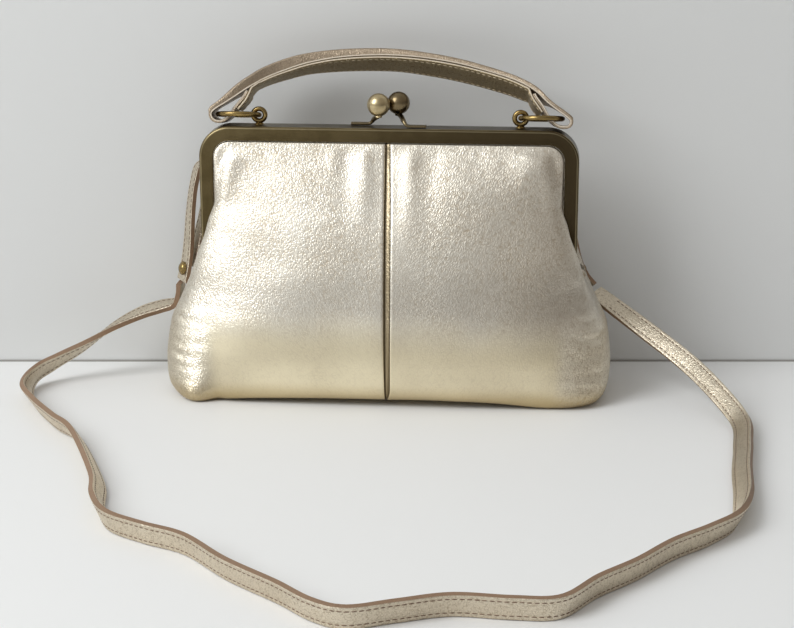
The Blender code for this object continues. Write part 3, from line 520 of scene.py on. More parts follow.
def painted_body_shade(f, color, waved):
    """Painted shade and reflection on the body, one over the other: a darker right side, a grey band of painted
    reflection, painted shade at the left edge, at the foot and in the pleat's sunk part, and a painted shadow line
    along the pleat.
    """
    # painted shade: the right side darker, where less light falls
    duller = f.times(f.spread(f.x, 0.0, 0.11, 0.0, 0.26), f.spread(f.z, 0.03, 0.055, 0.25, 1.0))
    # painted reflection: a grey band where the dark room in front is reflected
    band = f.times(f.between(waved, 0.052, 0.062, 0.066, 0.092), f.spread(f.x, -0.09, 0.04, 0.08, 0.3))
    # painted shade along the body's left edge
    painted_left_edge_shade = f.spread(f.x, -0.122, -0.1, 0.34, 0.0)
    # painted shade: darker towards the bottom, for the shade next to the table
    foot = f.spread(f.z, 0.0025, 0.0145, 0.75, 0.0)
    # painted shade in the pleat's sunk part
    pleat_shade = f.step("ShaderNodeAttribute", {"attribute_name": "pleat_shade"}).outputs["Fac"]
    # painted shadow: a dark line along the pleat's left fold
    painted_pleat_shadow = f.between(f.plus(f.z, 0.0194, f.x), 0.00138, 0.0016, 0.0021, 0.0026)
    painted_pleat_shadow = f.times(painted_pleat_shadow, f.spread(f.y, -0.006, -0.004, 1.0, 0.0), 0.92)
    for share, tone in (
            (duller, (0.42, 0.34, 0.25)), (band, (0.36, 0.32, 0.27)), (painted_left_edge_shade, (0.42, 0.35, 0.26)),
            (foot, (0.42, 0.31, 0.14)), (f.times(pleat_shade, 0.85), (0.36, 0.28, 0.16)),
            (painted_pleat_shadow, (0.10, 0.075, 0.045))):
        color = f.mixed(share, color, tone)
    return color


def gold_leather(name, light, dark, roughness, grain, bump, painted_reflection_gilt=None):
    """Foiled leather: champagne metal over a fine grain, duller and darker in the creases.

    The bag's body has a foot made more golden and an upper part kept paler as painted reflection, a grain that
    changes its way in the middle, and painted shade of its own."""
    f = Finish(name, light, roughness, 1.0)
    broad = f.clouds(f.coords, 24.0, 3.0)
    fine = f.clouds(f.coords, 2600.0, 2.0)
    tint = light
    if painted_reflection_gilt:
        halves = creased_grain(f, grain, math.radians(35), 0.5), creased_grain(f, grain, math.radians(-28), 0.55)
        which = f.spread(f.x, -0.012, 0.03)
        relief, crease = (f.step("ShaderNodeMix", i0=which, i2=left, i3=right).outputs[0]
                          for left, right in zip(*halves))
        aside = f.spread(f.maths("ABSOLUTE", f.x), 0.084, 0.1)
        upper = f.maths("MAXIMUM", f.spread(f.z, 0.03, 0.056, 0.25, 1.0), aside)
        patchy = f.times(f.spread(broad, 0.3, 0.65, 0.6, 1.0), upper)
        height = f.times(f.plus(fine, 0.15, relief), f.plus(aside, 0.5, patchy))
        crease = f.times(crease, patchy)
        waved = f.plus(f.clouds(f.coords, 18.0, 2.0), 0.02, f.z)
        # painted reflection: the foot more golden, the upper part paler
        tint = f.mixed(f.times(f.spread(waved, 0.039, 0.062, 1.0, 0.0), f.spread(aside, 0.0, 1.0, 1.0, 0.35)),
                       light, painted_reflection_gilt)
    else:
        relief, crease = creased_grain(f, grain, 0.0, 0.8)
        height = f.plus(fine, 0.15, relief)
    color = f.mixed(f.times(crease, 0.8), tint, dark)
    color = f.mixed(f.spread(broad, 0.35, 0.7, 0.0, 0.2), color, dark)
    if painted_reflection_gilt:
        color = painted_body_shade(f, color, waved)
    rough = f.plus(crease, 0.12, f.plus(broad, 0.14, roughness - 0.07))
    return f.lay(Base_Color=color, Roughness=rough, Normal=f.bump(height, bump, 0.4 * mm))


def brass_finish(name, light, dark, roughness, edge=None, right=None):
    """Antique brass: brushed faintly, browned unevenly, with a painted highlight along an edge where it is also
    rubbed bright, and, where given, painted shade on its right side.
    """
    f = Finish(name, light, roughness, 1.0)
    tarnish = f.clouds(f.coords, 55.0, 5.0, 0.65)
    brushed = f.clouds(f.scaled(f.coords, Scale=(0.12, 1, 1)), 1500.0, 2.0)
    color = f.mixed(f.spread(tarnish, 0.34, 0.66), dark, light)
    # painted shade: the right side darker, where less light falls
    if right:
        color = f.mixed(f.spread(f.x, -0.1, 0.1), color, right)
    if edge:
        along = f.step("ShaderNodeUVMap", {"uv_map": "along"}).outputs[0]
        around = f.step("ShaderNodeSeparateXYZ", Vector=along).outputs["Y"]
        low, high, bright = edge
        # painted highlight along the rounded outer edge
        color = f.mixed(f.times(f.between(around, 0.27, 0.36, 0.385, 0.41), 0.4), color, bright)
        # the bright edge line: partly rubbed wear, partly painted highlight
        worn_and_lit_edge = f.between(around, low - 0.02, low, high, high + 0.02)
        worn_and_lit_edge = f.times(worn_and_lit_edge, f.spread(tarnish, 0.25, 0.5, 0.55, 1.0))
        color = f.mixed(worn_and_lit_edge, color, bright)
    return f.lay(Base_Color=color, Roughness=f.plus(tarnish, 0.22, roughness - 0.1),
                 Normal=f.bump(f.plus(brushed, 0.5, tarnish), 0.12, 0.1 * mm))


def cut_edge(name, light, dark, roughness):
    """A cut leather edge: fibrous, painted or raw."""
    f = Finish(name, light, roughness)
    fibre = f.clouds(f.coords, 900.0, 4.0)
    color = f.mixed(f.plus(fibre, 0.7, f.times(f.clouds(f.coords, 90.0, 2.0), 0.3)), dark, light)
    return f.lay(Base_Color=color, Normal=f.bump(fibre, 0.4, 0.2 * mm))


def woven(name, light, dark, pitch, roughness):
    """Plain woven cloth from two crossed sets of threads."""
    f = Finish(name, light, roughness)
    turns = 2 * math.pi / pitch
    across, upward = (f.maths("SINE", f.times(way, turns)) for way in (f.x, f.maths("ADD", f.z, f.y)))
    weave = f.spread(f.times(across, upward), -1.0, 1.0)
    fluff = f.clouds(f.coords, 1400.0, 3.0)
    color = f.mixed(f.plus(weave, 0.6, f.times(fluff, 0.4)), dark, light)
    return f.lay(Base_Color=color, Sheen_Weight=0.2, Normal=f.bump(weave, 0.5, 0.2 * mm))


def thread_finish(name, light, dark):
    f = Finish(name, light, 0.6)
    twist = f.step("ShaderNodeTexWave", Vector=f.coords, Scale=900.0, Distortion=4.0).outputs["Fac"]
    return f.lay(Base_Color=f.mixed(twist, dark, light))


# the body's colours: painted reflection makes its foot more golden, and painted shade lies on its right side,
# edges and pleat
body_leather = gold_leather("body_leather", (0.86, 0.815, 0.72), (0.46, 0.375, 0.265), 0.36, 860.0, 0.34,
                            painted_reflection_gilt=(0.92, 0.83, 0.61))
strap_leather = gold_leather("strap_leather", (0.74, 0.66, 0.53), (0.42, 0.34, 0.24), 0.37, 1000.0, 0.45)
handle_leather = gold_leather("handle_leather", (0.40, 0.32, 0.235), (0.28, 0.22, 0.155), 0.42, 1000.0, 0.5)
handle_under_face = gold_leather("handle_under_face", (0.40, 0.32, 0.20), (0.26, 0.2, 0.12), 0.42, 1000.0, 0.5)
brown_edge = cut_edge("brown_edge", (0.30, 0.19, 0.11), (0.17, 0.10, 0.06), 0.6)
pale_edge = cut_edge("pale_edge", (0.74, 0.68, 0.58), (0.48, 0.39, 0.29), 0.75)
# the frame: painted highlight on its edge, partly rubbed wear, and painted shade on its right side
frame_brass = brass_finish("frame_brass", (0.150, 0.114, 0.055), (0.100, 0.074, 0.033), 0.33,
                           edge=(0.175, 0.215, (0.42, 0.35, 0.21)), right=(0.055, 0.04, 0.021))
# the balls' two finishes are lit and shaded copies of one brass: painted light on the left ball, painted shade on
# the right
painted_lit_ball = brass_finish("painted_lit_ball_brass", (0.66, 0.55, 0.34), (0.44, 0.35, 0.20), 0.30)
painted_shaded_ball = brass_finish("painted_shaded_ball_brass", (0.21, 0.16, 0.09), (0.08, 0.058, 0.03), 0.25)
ring_brass = brass_finish("ring_brass", (0.36, 0.255, 0.10), (0.19, 0.13, 0.05), 0.25)
arm_brass = brass_finish("arm_brass", (0.24, 0.19, 0.11), (0.13, 0.10, 0.055), 0.32)
lining_cloth = woven("lining_cloth", (0.60, 0.52, 0.41), (0.40, 0.33, 0.25), 0.9 * mm, 0.85)
board_grey = cut_edge("pressed_board", (0.5, 0.4, 0.28), (0.36, 0.28, 0.19), 0.9)
paper_twist = woven("paper_twist", (0.66, 0.56, 0.40), (0.44, 0.36, 0.25), 1.6 * mm, 0.9)
brown_thread = thread_finish("brown_thread", (0.22, 0.14, 0.085), (0.12, 0.07, 0.045))
gold_thread = thread_finish("gold_thread", (0.62, 0.52, 0.36), (0.42, 0.34, 0.22))


# ---- camera, light, table and wall ---------------------------------------------------------------

def set_light():
    """One soft window from the left, and a room that darkens to the right and downwards."""
    data = bpy.data.lights.new("window", "AREA")
    data.shape = "RECTANGLE"
    data.size, data.size_y = window_size
    data.energy = window_power
    data.color = (0.97, 0.99, 1.0)
    toward = Vector((0, -0.05, 0.08)) - Vector(window_place)
    placed("window", data, window_place, toward.to_track_quat("-Z", "Y").to_euler())

    world = bpy.data.worlds.new("room")
    world.use_nodes = True
    room = Nodes(world.node_tree)
    sky = room.tree.nodes["Background"]
    parts = room.step("ShaderNodeSeparateXYZ", Vector=room.step("ShaderNodeTexCoord").outputs["Generated"])
    rightward = room.spread(parts.outputs["X"], -0.75, 0.65)
    high = room.mixed(rightward, (0.97, 1.0, 1.02), (0.46, 0.43, 0.395))
    low = room.mixed(rightward, (0.58, 0.57, 0.55), (0.16, 0.145, 0.13))
    room.feed(sky.inputs["Color"], room.mixed(room.spread(parts.outputs["Z"], 0.0, 0.42), low, high))
    sky.inputs["Strength"].default_value = 0.8
    bpy.context.scene.world = world


def stage_sheet(name, start, along, up, finish):
    """A flat piece of the surroundings."""
    mesh = bpy.data.meshes.new(name)
    mesh.from_pydata([start, start + along, start + along + up, start + up], [], [(0, 1, 2, 3)])
    mesh.materials.append(finish)
    placed(name, mesh)


def set_stage():
    scene = bpy.context.scene
    scene.view_settings.view_transform = "Standard"
    camera = bpy.data.cameras.new("camera")
    camera.lens = camera_lens
    camera.sensor_width = 36
    camera.clip_start = 0.05
    camera.clip_end = 30
    scene.camera = placed("camera", camera, camera_place, (math.radians(90) - camera_pitch, 0, camera_side))
    set_light()

    table = Finish("white_table", (0.82, 0.82, 0.815), 0.55)
    faint = table.clouds(table.coords, 3.0, 3.0)
    table.lay(Specular_IOR_Level=0.3, Base_Color=table.mixed(faint, (0.805, 0.805, 0.80), (0.835, 0.835, 0.83)))
    wall = Finish("white_wall", (0.69, 0.695, 0.69), 0.8)
    wall.lay(Specular_IOR_Level=0.2)
    clear = wall.step("ShaderNodeBsdfTransparent")
    from_behind = wall.step("ShaderNodeNewGeometry").outputs["Backfacing"]
    mixed = wall.step("ShaderNodeMixShader", i0=from_behind, i1=wall.shader.outputs[0], i2=clear.outputs[0])
    wall.feed(wall.tree.nodes["Material Output"].inputs["Surface"], mixed.outputs[0])

    stage_sheet("table", Vector((-6, -6, 0)), Vector((12, 0, 0)), Vector((0, 12, 0)), table.mat)
    level = Vector((math.cos(camera_side), math.sin(camera_side), 0))
    start = Vector((0, wall_distance, 0)) - level * 3
    stage_sheet("wall", start, level * 6, Vector((0, 0, 2.6)), wall.mat)
    # painted shadow: a dark strip along the wall's foot, where the gap between wall and table lies in shade
    toward_bag = Vector((level.y, -level.x, 0)) * 0.4 * mm
    stage_sheet("painted_wall_shadow", start + toward_bag, level * 6, Vector((0, 0, 1.1 * mm)),
                Finish("painted_wall_shadow", (0.33, 0.32, 0.30), 0.8).mat)


# ---- stitches ------------------------------------------------------------------------------------

def stitch_tree():
    """Puts a stitch every so often along a line."""
    tree = bpy.data.node_groups.new("stitches", "GeometryNodeTree")
    face = tree.interface
    face.new_socket("Line", in_out="INPUT", socket_type="NodeSocketGeometry")
    sockets = {}
    for name, kind in (("Stitch pitch", "NodeSocketFloat"), ("Stitch length", "NodeSocketFloat"),
                       ("Thread width", "NodeSocketFloat"), ("Thread", "NodeSocketMaterial")):
        sockets[name] = face.new_socket(name, in_out="INPUT", socket_type=kind).identifier
    face.new_socket("Stitches", in_out="OUTPUT", socket_type="NodeSocketGeometry")
    n = Nodes(tree)
    given = tree.nodes.new("NodeGroupInput").outputs
    line = n.step("GeometryNodeMeshToCurve", Mesh=given["Line"])
    places = n.step("GeometryNodeCurveToPoints", {"mode": "LENGTH"}, Curve=line.outputs[0],
                    Length=given["Stitch pitch"])
    bead = n.step("GeometryNodeMeshUVSphere", Segments=6, Rings=5, Radius=0.5)
    size = n.step("ShaderNodeCombineXYZ", X=given["Thread width"], Y=given["Thread width"],
                  Z=given["Stitch length"])
    put = n.step("GeometryNodeInstanceOnPoints", Points=places.outputs["Points"], Instance=bead.outputs["Mesh"],
                 Rotation=places.outputs["Rotation"], Scale=size.outputs[0])
    real = n.step("GeometryNodeRealizeInstances", Geometry=put.outputs[0])
    dyed = n.step("GeometryNodeSetMaterial", Geometry=real.outputs[0], Material=given["Thread"])
    smooth = n.step("GeometryNodeSetShadeSmooth", Geometry=dyed.outputs[0])
    n.feed(tree.nodes.new("NodeGroupOutput").inputs["Stitches"], smooth.outputs[0])
    return tree, sockets


stitching, stitching_inputs = stitch_tree()


def stitch_rows(name, points, widths, places, ends, stitch, thread):
    """Stitches in rows along a band, as one mesh; places holds each row's distance across and through."""
    pitch, length, width = stitch
    vertices = []
    edges = []
    for aside, out in places:
        for i in range(ends, len(points) - ends):
            across, through = section_axes(points, widths, i)
            if i > ends:
                edges.append((len(vertices) - 1, len(vertices)))
            vertices.append(points[i] + across * aside + through * out)
    mesh = bpy.data.meshes.new(name + "_line")
    mesh.from_pydata([tuple(v) for v in vertices], edges, [])
    line = placed(name + "_line", mesh)
    modifier = line.modifiers.new("stitches", "NODES")
    modifier.node_group = stitching
    for key, value in (("Stitch pitch", pitch), ("Stitch length", length), ("Thread width", width),
                       ("Thread", thread)):
        modifier[stitching_inputs[key]] = value
    made = final_mesh(line)
    made.name = name
    if not made.materials:
        made.materials.append(thread)
    bpy.data.objects.remove(line)
    stitches = placed(name, made)
    return stitches


# ---- shoulder strap ------------------------------------------------------------------------------

def strap_lines():
    """Middle line of the strap and the direction of its width at each point."""
    line = evenly(strap_route, strap_stations)
    points = [p.xyz * mm for p in line]
    for point, p in zip(points, line):
        roll = math.radians(p.w)
        reach = (strap_width * abs(math.cos(roll)) + strap_thickness * abs(math.sin(roll))) / 2
        point.z = max(point.z, reach + strap_lift)
    headings = [heading(points, i) * Vector((1, 1, 0)) for i in range(len(points))]
    widths = []
    for i, p in enumerate(line):
        flat = next(h for h in headings[i:] if h.length >= least_level).normalized()
        roll = math.radians(p.w)
        widths.append(Vector((-flat.y * math.sin(roll), flat.x * math.sin(roll), math.cos(roll))).normalized())
    return points, widths


def band_outline(width, thickness):
    """A folded strap's section: full faces, flattened over the stitches, square cut edges."""
    half = [(a * width / 2, t * thickness / 2)
            for a, t in ((1, 0.80), (0.93, 0.94), (0.78, 0.93), (0.64, 0.84), (0.5, 0.96), (0.2, 1))]
    face = [(-a, t) for a, t in half] + half[::-1]
    return face + [(-a, -t) for a, t in face]


def stitched_band(name, points, widths, thickness, node, ends):
    """A strap with brown cut edges, and the two rows of stitches on each of its faces."""
    outline = band_outline(strap_width, thickness)
    shape, uvs, sides = sweep(points, widths, [outline] * len(points))
    cut = (len(outline) // 2 - 1, len(outline) - 1, -1)
    band = add_piece(name + "_leather", shape, [strap_leather, brown_edge], node=node,
                     face_finish=[int(side in cut) for side in sides], uvs=uvs, angle=50)
    places = [(edge * strap_stitch_aside, face * thickness * stitch_seat) for face in (-1, 1) for edge in (-1, 1)]
    stitches = stitch_rows(name + "_stitches", points, widths, places, ends, strap_stitch, brown_thread)
    return band, stitches


def make_strap():
    points, widths = strap_lines()
    strap, stitches = stitched_band("shoulder_strap", points, widths, strap_thickness, "shoulder_strap", 6)
    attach(strap, "bag")
    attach(stitches, "bag")


def make_loop(word, route, foot_width, top_width, side):
    """The strap's folded end round its ring, with its stud."""
    node = f"strap_end_loop_{word}"
    points = [p * mm for p in evenly(route, loop_stations)]
    widths = []
    for point in points:
        share = min(max((point.z - points[0].z) / (strap_width * 5), 0), 1)
        widths.append(Vector(foot_width).lerp(Vector(top_width), share).normalized())
    for piece in stitched_band(node, points, widths, loop_thickness, node, 3):
        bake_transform(piece)
    here = min(range(len(points) // 2), key=lambda i: abs(points[i].z - stud_height))
    out = section_axes(points, widths, here)[1]
    if out.x * side < 0:
        out = -out
    profile = [(0.15, 0.4), (0.15, 3.6), (0.5, 3.75), (0.8, 3.6), (0.95, 3.1)]
    for turn in (8, 22, 36, 50, 64, 77, 87):
        a = math.radians(turn)
        profile.append((0.95 + 1.5 * math.sin(a), 3.0 * math.cos(a)))
    add_brass(f"strap_stud_{word}", "dome", revolve(points[here] + out * (loop_thickness / 2), out, profile, 32),
              ring_brass, "bag")


# ---- frame, hinges and clasp ---------------------------------------------------------------------

def frame_line():
    """The frame's outside U and its inward directions, in the XZ plane."""
    reach, shoulder = frame_half - corner_radius, frame_top - corner_radius
    left = [(Vector((-frame_half, channel_foot + rise)), Vector((1, 0)))
            for rise in stretches(shoulder - channel_foot, 8)[:-1]]
    for turn in stretches(math.pi / 2, 18):
        out = Vector((-math.cos(turn), math.sin(turn)))
        left.append((Vector((-reach, shoulder)) + out * corner_radius, -out))
    top = [(Vector((run - reach, frame_top)), Vector((0, -1))) for run in stretches(2 * reach, 16)[1:-1]]
    right = [(Vector((-p.x, p.y)), Vector((-inward.x, inward.y))) for p, inward in reversed(left)]
    return left + top + right


def channel_profile():
    """Section of the channel: distance in from the outside, and depth from the bag's middle."""
    edge = 1.5
    profile = [(0.0, 0.15), (0.0, 2.0), (0.0, 4.0), (0.0, 7.0 - edge)]
    for turn in stretches(math.pi / 2, 8)[1:]:
        profile.append((edge - edge * math.cos(turn), 7.0 - edge + edge * math.sin(turn)))
    profile += [(1.9, 6.97), (2.6, 6.9), (4.2, 6.86), (5.8, 6.9), (6.7, 6.96), (7.15, 6.95), (7.42, 6.78),
                (7.5, 6.5), (7.42, 6.15), (7.2, 6.0), (1.0, 6.0), (1.0, 1.15), (7.5, 1.15), (7.5, 0.15)]
    return [(a * mm, d * mm) for a, d in profile]


def ear_shape(side, facing):
    """A hinge ear: a plate round the rivet that rises into the channel."""
    outline = [(facing * ear_radius * math.cos(turn), -ear_radius * math.sin(turn))
               for turn in stretches(1.5 * math.pi, 24)]
    top = channel_foot - hinge_height + 7 * mm
    inset = 0.6 * mm
    outline += [(facing * inset, top), (facing * (frame_depth - inset), top),
                (facing * (frame_depth - inset), ear_radius)]
    outer = frame_half - 0.3 * mm - (1.1 * mm if facing > 0 else 0)
    vertices = [Vector((side * x, y, hinge_height + z)) for x in (outer - 0.8 * mm, outer) for y, z in outline]
    return vertices, strips(2, len(outline)) + caps(2, len(outline))


def make_frame_half(word, facing, body):
    profile = channel_profile()
    line = frame_line()
    size = len(profile)
    vertices = []
    uvs = []
    along = 0.0
    for i, (point, inward) in enumerate(line):
        if i:
            along += (point - line[i - 1][0]).length
        for j, (r, depth) in enumerate(profile):
            vertices.append(Vector((point.x + inward.x * r, facing * depth, point.y + inward.y * r)))
            uvs.append((along, j / size))
    channel = vertices, strips(len(line), size) + caps(len(line), size)
    shape = join_parts(channel, ear_shape(-1, facing), ear_shape(1, facing))
    uvs += [(0, 0.5)] * (len(shape[0]) - len(uvs))
    add_brass(f"{word}_frame", "channel", shape, frame_brass, body, 35, uvs)


def make_rivet(word, side):
    inner, outer = frame_half / mm - 2.5, frame_half / mm
    profile = [(inner - 0.9, 1.0), (inner - 0.6, 2.2), (inner - 0.1, 2.6), (inner, 2.5), (inner, 1.25),
               (outer, 1.25), (outer, 2.5), (outer + 0.1, 2.6), (outer + 0.5, 2.3), (outer + 0.8, 1.6),
               (outer + 0.92, 0.6)]
    add_brass(f"hinge_rivet_{word}", "domed",
              revolve(Vector((0, 0, hinge_height)), Vector((side, 0, 0)), profile, 28), ring_brass, "bag")


def make_clasp(word, side):
    """One half of the kiss lock: a bar soldered on the frame that rises into a ball."""
    y, ball_x, ball_y = -side * 3.5, 4.9, side * 3.7
    route = [(side * x, y, 143.0) for x in (20, 16, 12)]
    route += [(side * 10.2, y, 143.15), (side * 9.1, y * 0.9, 144.0), (side * 7.9, y * 0.5, 145.6),
              (side * 6.6, y * 0.1 + ball_y * 0.6, 147.0), (side * 5.4, ball_y, 147.9),
              (side * ball_x, ball_y, 149.2)]
    points = [p * mm for p in evenly(route, 44)]
    outlines = []
    for i in range(len(points)):
        share = ramp(i / (len(points) - 1), 0.42, 0.68)
        wide, thick = (size + (arm_neck - size) * share for size in arm_bar)
        section = [rounded(a, 0.5 + 0.5 * share) for a in stretches(2 * math.pi, 20)[:-1]]
        outlines.append([(c * wide, s * thick) for c, s in section])
    shape = sweep(points, [Vector((0, 1, 0))] * len(points), outlines)[0]
    add_brass(f"clasp_arm_{word}", "bar", shape, arm_brass, "clasp_" + word, 50)
    profile = [(-6.6, 1.0), (-6.6, 1.75), (-6.2, 2.0), (-5.85, 1.9)]
    for turn in stretches(159, 35):
        a = math.radians(turn - 70)
        profile.append((ball_radius * math.sin(a), ball_radius * math.cos(a)))
    shape = revolve(Vector((side * ball_x, ball_y, ball_z)) * mm, Vector((0, 0, 1)), profile, 56)
    # painted light on the left ball, painted shade on the right
    add_brass(f"clasp_ball_{word}", "knob", shape, painted_lit_ball if side < 0 else painted_shaded_ball, "clasp_" + word, 30)


def ring_of_wire(centre, across, major, minor, count, sides):
    """A wire ring in the plane of X and another direction."""
    widths = [Vector((1, 0, 0)) * math.cos(a) + across * math.sin(a) for a in stretches(2 * math.pi, count)[:-1]]
    return wire([centre + out * major for out in widths], widths, minor, sides)


def make_handle_fittings(word, side):
    """An eyelet on the frame and the handle's ring in it."""
    seat = Vector((side * eyelet_x, eyelet_y, eyelet_z))
    up = Vector((0, 0, 1))
    eye = ring_of_wire(seat, up, eyelet_radius, eyelet_wire, 56, 18)
    foot = revolve(Vector((seat.x, seat.y, frame_top)), up, [(0, 2.6), (0.2, 2.5), (0.7, 1.6), (1.2, 1.1)], 28)
    add_brass(f"handle_eyelet_{word}", "wire", join_parts(eye, foot), ring_brass, "bag", 35)
    back = Vector((0, math.cos(ring_tilt), -math.sin(ring_tilt)))
    centre = seat + Vector((side * ring_radius, 0, 0))
    ring = ring_of_wire(centre, back, ring_radius, ring_wire, 96, 20)
    add_brass(f"handle_ring_{word}", "wire", ring, ring_brass, "handle_rings", 60)


def make_strap_ring(word, side, angle):
    """D-ring: a straight bar in the lug and a bow below it."""
    radius, drop, turn = 1.1, 14.6, 2.4
    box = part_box(f"strap_ring_{word}")
    near, far = box[0].y / mm + radius, box[1].y / mm - radius
    points = []
    for y, z, start, bend in ((near + turn / 2, -turn / 2, 90, turn / 2), (near + turn, turn - drop, 180, turn),
                              (far - turn, turn - drop, 270, turn), (far - turn / 2, -turn / 2, 0, turn / 2)):
        for a in stretches(math.pi / 2, 8):
            a += math.radians(start)
            low = z + bend * math.sin(a)
            points.append(Vector((side * (strap_lug_x - low * math.sin(angle)), y + bend * math.cos(a),
                                  strap_lug_z + low * math.cos(angle))) * mm)
    swing = Vector((side * math.cos(angle), 0, math.sin(angle)))
    add_brass(f"strap_ring_{word}", "wire", wire(points, [swing] * len(points), radius * mm, 16), ring_brass,
              f"strap_ring_{word}", 60)


# ---- handle --------------------------------------------------------------------------------------

def handle_line(path):
    """Points of the handle's band and the direction of its width, from (x, height over the eyelets)."""
    points = []
    widths = []
    for x, h in path:
        lean = ring_tilt + (arch_lean - ring_tilt) * ramp(h, 0, 25)
        points.append(Vector((x * mm, eyelet_y + h * mm * math.sin(lean), eyelet_z + h * mm * math.cos(lean))))
        lean = math.radians(eased(handle_lean_table, x))
        widths.append(Vector((0, math.cos(lean), -math.sin(lean))))
    return points, widths


def padded_outline(padding):
    """Section of the padded band: flat below, two raw edges, and a soft crown above."""
    half = handle_width / 2
    low = -handle_layer / 2
    points = [(half * 0.97, low)]
    for share, rise in ((1, 0.12), (1, 0.42), (0.985, 0.5), (1, 0.6)):
        points.append((half * share, low + handle_layer * rise))
    top = handle_layer / 2 + padding
    rise = top - (low + handle_layer * 0.6)
    corner = min(rise * 0.75, 2.6 * mm)
    for a in stretches(math.pi / 2, 8)[1:-1]:
        points.append((half - corner * 0.8 * (1 - math.cos(a)) + 0.22 * padding * math.sin(2 * a),
                       top - rise * 0.06 - corner * (1 - math.sin(a))))
    crown = [(share * (half - corner), top - rise * 0.06 * share * share) for share in (1, 2 / 3, 1 / 3)]
    return points + crown + [(0, top)] + [(-x, t) for x, t in reversed(points + crown)]


def handle_band(name, path, outlines, raw, finish, node):
    """One of the handle's two leathers, with pale raw edges."""
    points, widths = handle_line(path)
    shape, uvs, sides = sweep(points, widths, outlines)
    add_piece(name, shape, [finish, pale_edge], "handle", node,
              face_finish=[int(side in raw) for side in sides], uvs=uvs)
    return points, widths


def make_handle():
    path = evenly(handle_path, handle_stations)
    outlines = []
    for i, p in enumerate(path):
        level = ramp(heading(path, i).x, 0.05, 0.65)
        outlines.append(padded_outline((fold_padding + eased(handle_padding_table, p.x) * level) * mm))
    size = len(outlines[0])
    handle_band("handle_outer_leather", path, outlines, (-1, 1, 2, size - 4, size - 3), handle_leather,
                "handle_outer_layer")
    arch = [Vector(p) for p in under_layer_left]
    for i, p in enumerate(path):
        ahead = heading(path, i)
        if ahead.x > 0.2 and abs(p.x) < under_layer_reach and p.y > 12:
            arch.append(p + Vector((ahead.y, -ahead.x)) * handle_layer / mm)
    arch = evenly(arch + [Vector(p) for p in under_layer_right], under_layer_stations)
    outline = rounded_oblong(handle_width - 0.2 * mm, under_layer, 0.4 * mm, 2)
    points, widths = handle_band("handle_under_leather", arch, [outline] * len(arch), (-1, 2, 8),
                                 handle_under_face, "handle_under_layer")
    places = [(edge * handle_stitch_aside, -handle_stitch_depth) for edge in (-1, 1)]
    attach(stitch_rows("handle_stitches", points, widths, places, 3, handle_stitch, gold_thread), "handle")


# ---- leather body, all in millimetres --------------------------------------------------------------

def outline_inside(z):
    """Half width inside the frame's rounded corners, and the outward direction there."""
    centre_x, centre_z = (frame_half - corner_radius) / mm, (frame_top - corner_radius) / mm
    radius = (corner_radius - body_inset) / mm
    rise = z - centre_z
    if rise <= 0:
        return centre_x + radius, Vector((1, 0))
    rise = min(rise, radius)
    run = math.sqrt(radius * radius - rise * rise)
    return centre_x + run, Vector((run, rise)) / radius


def body_size(z):
    """Half width, half depth and roundness of the body's outline at a height."""
    w, d, power = (eased(body_table, z, column) for column in (1, 2, 3))
    return w + (outline_inside(z)[0] - w) * ramp(z, 59, 80), d, power


def in_channel(z):
    """0 where the halves are sewn together, 1 where the frame's channel holds them."""
    return ramp(z, seam_top / mm, channel_start / mm)


def base_bow(x, y):
    """How far the base is bowed up at one place."""
    return eased(base_bow_table, x) * ramp(-y, 2, 33)


def bowed(x, y, z):
    """A place in the bag's foot, in metres, lifted with the bowed base."""
    return Vector((x, y, z + base_bow(x, y) * math.exp(-z / bow_fade))) * mm


def corner_jut(x):
    """How far the leather's lower front corners stand forward."""
    return sum(amount * bell(x, *spot) for amount, *spot in front_juts)


def ripple(x, y, z):
    return noise.noise(Vector((x, y, z)))


def relief_front(x, z, w):
    """How far the front leather stands out of its smooth shape."""
    total = 1.0 * ripple(x / 52, z / 46, 3.1) + 0.45 * ripple(x / 26, z / 23, 8.4)
    total += sum(amount * bell(x, *along_x) * bell(z, *along_z) for amount, along_x, along_z in front_bumps)
    # soft folds beside the pleat, and puckers under the frame
    upper = ramp(z, 78, 122)
    total += 0.55 * upper * (bell(x, -11.5, 5.0) + 1.2 * bell(x, 12.5, 5.0))
    total -= 0.3 * upper * (bell(x, -21.5, 5.4) + bell(x, 23.5, 5.4))
    total += 0.34 * ripple(x / 6.5, 0.4, z / 60) * ramp(z, 112, 130)
    # crumpled lower sides
    crumple = 0.6 * ripple(x / 22 + z / 26, z / 4.4, 1.7) + 0.5 * ripple(x / 9, z / 3.1 + x / 18, 6.2)
    low = ramp(z, 4, 18) * (1 - ramp(z, 46, 66))
    total += ramp(abs(x / w), 0.72, 0.93) * low * crumple * (1.35 if x > 0 else 1)
    # the belly's fold along the frame's side bars
    fold = eased(belly_table, z)
    high = ramp(z, 84, 104) * (1 - ramp(z, 124, 133))
    total += 0.9 * high * bell(abs(x), fold - 4.5, 4.5)
    total -= 1.3 * high * ramp(abs(x), fold - 2.0, fold + 3.0)
    if x > 0:
        ridge = bell(x, fold - 2.5, 2.2) - bell(x, fold - 5.0, 2.0)
        total += 0.5 * ridge * ramp(z, 46, 62) * (1 - ramp(z, 84, 98))
    # creases that fan out from the lower left corner
    fan = ripple(math.atan2(z + 1, x + 88) * 4.2, 7.7, 0.3)
    return total + 0.8 * fan * bell(x, -88, 12) * bell(z, 4, 12)


